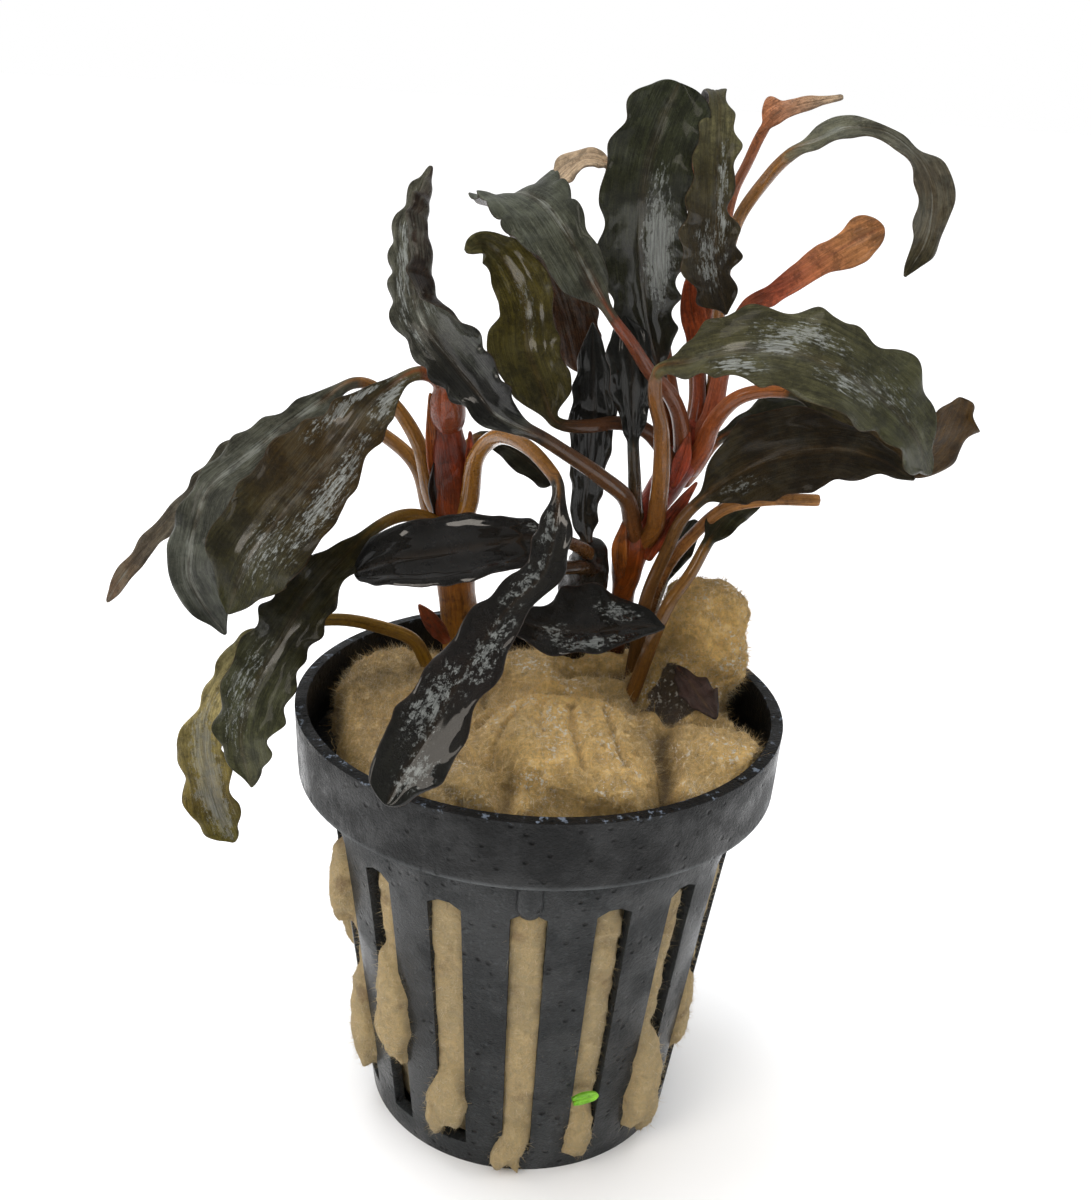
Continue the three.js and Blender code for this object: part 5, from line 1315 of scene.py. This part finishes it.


# What leaf_finish needs for each kind of leaf
FINISHES = {
    "dark": dict(
        shade=0.42, cast=0xFFF0B4, haze=0.08, sheen=0.1, bloom=0.8, brush=(3.4, 0.9, 1.0),
        rough=0.38, gloss=0.16, skin=0.12, ridges=0.9,
    ),
    "silver": dict(
        shade=0.5, cast=0xFFF8E0, haze=0.24, sheen=0.45, bloom=0.9, brush=(4.2, 0.5, 1.0),
        rough=0.36, gloss=0.2, skin=0.12, ridges=1.1,
    ),
    "olive": dict(
        shade=0.7, cast=0xFFF4C0, haze=0.06, sheen=0.05, bloom=0.5, brush=(2.4, 1.0, 1.0),
        rough=0.42, gloss=0.1, skin=0.14, ridges=0.9,
    ),
    "young": dict(
        shade=0.9, cast=0xFFF2E6, haze=0.03, sheen=0.04, bloom=0.4, brush=(3.0, 0.6, 1.0),
        rough=0.38, gloss=0.15, skin=0.12, ridges=0.8,
    ),
    "wet": dict(
        shade=0.22, cast=0xFFF6E0, haze=0.0, sheen=0.0, bloom=0.6, brush=(1.7, 1.1, 1.0),
        rough=0.3, gloss=0.45, skin=0.04, ridges=0.3,
    ),
}


# What a user may change


class PotSettings(bpy.types.PropertyGroup):
    rim_radius: bpy.props.FloatProperty(
        name="Rim radius", description="Outside radius of the pot's lip",
        default=POT_HIGH.x, min=0.01, subtype="DISTANCE", unit="LENGTH",
    )
    wall: bpy.props.FloatProperty(
        name="Wall", description="Thickness of the pot's plastic",
        default=1.2 * MM, min=0.0005, subtype="DISTANCE", unit="LENGTH",
    )
    rounding: bpy.props.FloatProperty(
        name="Edge rounding", description="Radius of the moulded edges",
        default=0.22 * MM, min=0, subtype="DISTANCE", unit="LENGTH",
    )
    colour: bpy.props.FloatVectorProperty(
        name="Plastic colour", description="Colour of the black plastic",
        default=paint(0x1A1C1D)[:3], min=0, max=1, subtype="COLOR",
    )


class WoolSettings(bpy.types.PropertyGroup):
    grain: bpy.props.FloatProperty(
        name="Mesh step", description="Size of one face of the wool's skin",
        default=0.36 * MM, min=0.0002, subtype="DISTANCE", unit="LENGTH",
    )
    fibres: bpy.props.IntProperty(
        name="Fibres", description="Number of loose fibres on each torn wad", default=15000, min=0, max=15000
    )
    fibre_length: bpy.props.FloatProperty(
        name="Fibre length", description="Usual length of a loose fibre",
        default=0.85 * MM, min=0.0002, subtype="DISTANCE", unit="LENGTH",
    )
    colour: bpy.props.FloatVectorProperty(
        name="Wool colour", description="Colour of the damp rock wool",
        default=paint(0xE2B868)[:3], min=0, max=1, subtype="COLOR",
    )


class LeafSettings(bpy.types.PropertyGroup):
    thickness: bpy.props.FloatProperty(
        name="Half thickness", description="Half the thickness of a leaf blade",
        default=0.13, min=0.05, max=0.3,
    )
    ruffle: bpy.props.FloatProperty(
        name="Ruffle", description="How strongly the margins ruffle, as a share of their usual swing",
        default=1.0, min=0, max=2, subtype="FACTOR",
    )


class StageSettings(bpy.types.PropertyGroup):
    light: bpy.props.FloatProperty(
        name="Light", description="Strength of the soft light all round", default=1.0, min=0
    )
    lens: bpy.props.FloatProperty(
        name="Lens", description="Focal length of the camera",
        default=42, min=1, subtype="DISTANCE_CAMERA", unit="CAMERA",
    )
    floor_colour: bpy.props.FloatVectorProperty(
        name="Floor colour", description="Colour of the plain floor",
        default=(0.9, 0.9, 0.9), min=0, max=1, subtype="COLOR",
    )


# Operators, one for each piece or group of like pieces


class PLANT_OT_pot(bpy.types.Operator):
    """Spin the net pot from its profile, open its slots and round its edges"""

    bl_idname = "plant.pot"
    bl_label = "Net pot"

    def execute(self, context):
        sizes = context.scene.plant_pot
        shell = bmesh.new()
        first = radians(SLOT_TURN - STEP_TURN * SLOT_STEPS / 2)
        profile = pot_profile(sizes.rim_radius / MM, POT_HIGH.z / MM)
        chain = [shell.verts.new(Vector((r * cos(first), r * sin(first), z)) * MM) for r, z in profile]
        links = [shell.edges.new(pair) for pair in zip(chain, chain[1:])]
        whole_turn = {"cent": (0, 0, 0), "axis": (0, 0, 1), "angle": 2 * pi, "steps": POT_STEPS}
        bmesh.ops.spin(shell, geom=chain + links, use_merge=True, **whole_turn)
        bmesh.ops.remove_doubles(shell, verts=shell.verts, dist=0.01 * MM)
        openings = [face for face in shell.faces if open_face(face)]
        bmesh.ops.delete(shell, geom=openings, context="FACES")
        bmesh.ops.recalc_face_normals(shell, faces=shell.faces)
        for rib in range(RIBS):
            pot_rib(shell, radians(SLOT_TURN + 360 / RIBS * rib), SLOT_TO - 0.2, RIB_RADIUS)
        for vertex in shell.verts:
            if vertex.is_boundary and abs(vertex.co.z / MM - SLOT_TO) < 0.1:
                if any(face.calc_center_median().z / MM < SLOT_TO for face in vertex.link_faces):
                    vertex.co.z -= SLOT_SHOULDER * MM
        piece = finished("pot", shell, pot_finish(tuple(sizes.colour) + (1.0,)))
        wall = piece.modifiers.new("wall", "SOLIDIFY")
        wall.thickness = sizes.wall
        wall.offset = -1
        wall.use_even_offset = True
        edges = piece.modifiers.new("rounded edges", "BEVEL")
        edges.width = sizes.rounding
        edges.segments = 2
        edges.limit_method = "ANGLE"
        edges.angle_limit = radians(SHARP_TURN)
        return {"FINISHED"}


class PLANT_OT_wool(bpy.types.Operator):
    """Heap, tease and fray the rock wool: the plug in the pot and the torn wads on top"""

    bl_idname = "plant.wool"
    bl_label = "Rock wool"

    def execute(self, context):
        sizes = context.scene.plant_wool
        wool = wool_finish(tuple(sizes.colour) + (1.0,))
        count = sizes.fibres // 1
        length = sizes.fibre_length / MM
        for name, lumps in WADS.items():
            heap = bmesh.new()
            for lump in lumps:
                add_lump(heap, **lump)
            skin = remeshed(heap, sizes.grain)
            seed = seed_of(name)
            hollow = HOLLOW if name == "wool_wad_right" else None
            fan = FAN if name == "wool_wad_front" else None
            teased(skin, seed, 1.0, hollow, fan, CREASES[name])
            add_fibres(skin, count, length, seed, lambda p: p.z > FIBRE_FLOOR)
            finished(name, skin, wool)

        heap = bmesh.new()
        core = bmesh.ops.create_cone(
            heap,
            cap_ends=True,
            segments=64,
            radius1=(BASE_RADIUS - PLUG_INSET) * MM,
            radius2=(BODY_RADIUS - PLUG_INSET) * MM,
            depth=(PLUG_TOP - PLUG_FOOT) * MM,
        )["verts"]
        bmesh.ops.translate(heap, verts=core, vec=(0, 0, (PLUG_TOP + PLUG_FOOT) / 2 * MM))
        for index in range(-WALL_SLOTS // 2, WALL_SLOTS // 2):
            add_tongue(heap, index, *SLOT_FILL.get(index, ()))
        for swell in SWELLS:
            add_swell(heap, *swell)
        skin = remeshed(heap, sizes.grain * PLUG_STEP)
        teased(skin, PLUG_SEED, 0.5)

        def outside(p):
            return p.to_2d().length > body_radius(p.z) - PLUG_SKIN and p.z > 1

        add_fibres(skin, count, length * PLUG_FIBRE, PLUG_FIBRE_SEED, outside)
        finished("wool_plug", skin, wool)
        return {"FINISHED"}


class PLANT_OT_stems(bpy.types.Operator):
    """Draw the shoots, the creeping stem and the cut stalk"""

    bl_idname = "plant.stems"
    bl_label = "Stems"

    def execute(self, context):
        fresh = stem_finish("smooth stem", 0.28)
        dark = stem_finish("wet rhizome", 0.12)
        for name, stem in STEMS.items():
            parts = [stem_mesh(name, stem)]
            for i, bract in enumerate(stem.get("bracts", [])):
                parts.append(leaf_mesh(name + str(i), {**BRACT, **bract}, BRACT_THICKNESS, 1.0))
            piece = finished(name, joined(parts), dark if name == "rhizome" else fresh)
            rounded_off(piece)
        return {"FINISHED"}


class PLANT_OT_leaves(bpy.types.Operator):
    """Bend and ruffle every leaf on its stalk"""

    bl_idname = "plant.leaves"
    bl_label = "Leaves"

    def execute(self, context):
        sizes = context.scene.plant_leaf
        finishes = {kind: leaf_finish(kind + " leaf", **numbers) for kind, numbers in FINISHES.items()}
        for name, leaf in LEAVES.items():
            kind = leaf["finish"]
            made = leaf_mesh(name, leaf, sizes.thickness, sizes.ruffle)
            rounded_off(finished(name, made, finishes[kind]))
        return {"FINISHED"}


class PLANT_OT_scraps(bpy.types.Operator):
    """Lay down the bud scale, the dead piece of leaf and the duckweed frond"""

    bl_idname = "plant.scraps"
    bl_label = "Small loose pieces"

    def execute(self, context):
        sizes = context.scene.plant_leaf
        brown = scrap_finish("dead leaf", paint(0x241814), 0.5, 0.2)
        green = scrap_finish("duckweed", paint(0x9CDC48), 0.25, 0.6)
        for name, scrap in SCRAPS.items():
            made = leaf_mesh(name, scrap, sizes.thickness * SCRAP_THICKNESS, sizes.ruffle)
            material = green if name == "duckweed_frond" else brown
            rounded_off(finished(name, made, material))
        return {"FINISHED"}


# The camera as the photo has it
CAMERA_PLACE = (0, -130 * MM, 110 * MM)
CAMERA_DOWN, CAMERA_ROLL = 22, 3.3


class PLANT_OT_stage(bpy.types.Operator):
    """Set the plain floor, the soft light and the camera"""

    bl_idname = "plant.stage"
    bl_label = "Stage"

    def execute(self, context):
        sizes = context.scene.plant_stage
        disc = bmesh.new()
        bmesh.ops.create_circle(disc, cap_ends=True, segments=96, radius=2.5)
        mesh = bpy.data.meshes.new("floor")
        disc.to_mesh(mesh)
        disc.free()
        ground = bpy.data.objects.new("floor", mesh)
        context.scene.collection.objects.link(ground)
        plain = Finish("plain floor", Roughness=0.8, Specular_IOR_Level=0.1)
        plain.coat(Base_Color=tuple(sizes.floor_colour) + (1.0,))
        mesh.materials.append(plain.material)

        context.scene.world = studio_world(sizes.light)
        context.scene.view_settings.view_transform = "Standard"
        add_panel_light("overhead", (-0.2, 0.1, 0.7), 0.35, 2.5, paint(0xF4F8FF), False)
        add_panel_light("front", (-0.45, -0.5, 0.5), 0.35, 2.0, paint(0xFFF6EA), True)

        lens = bpy.data.cameras.new("camera")
        lens.sensor_fit = "VERTICAL"
        lens.sensor_height = 36
        lens.lens = sizes.lens
        lens.clip_start = 0.005
        camera = bpy.data.objects.new("camera", lens)
        context.scene.collection.objects.link(camera)
        tilted = Matrix.Rotation(radians(90 - CAMERA_DOWN), 4, "X")
        rolled = Matrix.Rotation(radians(CAMERA_ROLL), 4, "Z")
        camera.matrix_world = Matrix.Translation(CAMERA_PLACE) @ (tilted @ rolled)
        context.scene.camera = camera
        return {"FINISHED"}


def studio_world(strength):
    """White behind the plant, a bright sky over the floor, and a dimmer room in all that shines."""
    world = bpy.data.worlds.new("soft light")
    world.use_nodes = True
    nodes = Nodes(world.node_tree)
    place = nodes.node("ShaderNodeTexCoord", out="Generated")

    def level(axis, *stops):
        where = nodes.node("ShaderNodeSeparateXYZ", None, {0: place}, out=axis)
        return nodes.ramp(where, *stops, "LINEAR")

    def light(brightness):
        return nodes.node("ShaderNodeBackground", None, {"Strength": brightness})

    def chosen(rays, usual, special):
        share = nodes.node("ShaderNodeLightPath", out=rays)
        return nodes.node("ShaderNodeMixShader", None, {0: share, 1: usual, 2: special})

    front_to_back = level("Y", -0.9, 0.5, 0.35 * strength, 0.7 * strength)
    sky = light(front_to_back + level("Z", 0.2, 0.95, 0.0, 1.7 * strength))
    room = light(level("Y", -0.7, 0.6, 0.1, 0.45) + level("X", -1.0, -0.2, 0.3, 0.0))
    white = nodes.node("ShaderNodeBackground", None, {"Color": (1.0, 1.0, 1.0, 1.0)})
    shown = chosen("Is Camera Ray", chosen("Is Glossy Ray", sky, room), white)
    nodes.feed(world.node_tree.nodes["World Output"].inputs["Surface"], shown)
    return world


def add_panel_light(name, place, size, power, colour, shows):
    """A square lamp that looks at the plant."""
    lamp = bpy.data.lights.new(name, "AREA")
    lamp.size = size
    lamp.energy = power
    lamp.color = colour[:3]
    holder = bpy.data.objects.new(name, lamp)
    bpy.context.scene.collection.objects.link(holder)
    holder.location = place
    aim = Vector((0, 0, 0.05)) - Vector(place)
    holder.rotation_euler = aim.to_track_quat("-Z", "Y").to_euler()
    holder.visible_glossy = shows


class PLANT_PT_panel(bpy.types.Panel):
    """Lists the plant's pieces and their sizes"""

    bl_idname = "PLANT_PT_panel"
    bl_label = "Potted bucephalandra"
    bl_space_type = "VIEW_3D"
    bl_region_type = "UI"
    bl_category = "Plant"

    def draw(self, context):
        for operator in OPERATORS:
            self.layout.operator(operator.bl_idname)
        for name in SETTINGS:
            group = getattr(context.scene, name)
            box = self.layout.box()
            for key in group.bl_rna.properties.keys():
                if key not in ("rna_type", "name"):
                    box.prop(group, key)


SETTINGS = {
    "plant_pot": PotSettings,
    "plant_wool": WoolSettings,
    "plant_leaf": LeafSettings,
    "plant_stage": StageSettings,
}
OPERATORS = (PLANT_OT_pot, PLANT_OT_wool, PLANT_OT_stems, PLANT_OT_leaves, PLANT_OT_scraps, PLANT_OT_stage)


def register():
    for kind in (*SETTINGS.values(), *OPERATORS, PLANT_PT_panel):
        bpy.utils.register_class(kind)
    for name, kind in SETTINGS.items():
        setattr(bpy.types.Scene, name, bpy.props.PointerProperty(type=kind))


def unregister():
    for name in SETTINGS:
        delattr(bpy.types.Scene, name)
    for kind in (PLANT_PT_panel, *reversed(OPERATORS), *reversed(SETTINGS.values())):
        bpy.utils.unregister_class(kind)


def main():
    register()
    bpy.ops.plant.pot()
    bpy.ops.plant.wool()
    bpy.ops.plant.stems()
    bpy.ops.plant.leaves()
    bpy.ops.plant.scraps()
    bpy.ops.plant.stage()


if __name__ == "__main__":
    main()
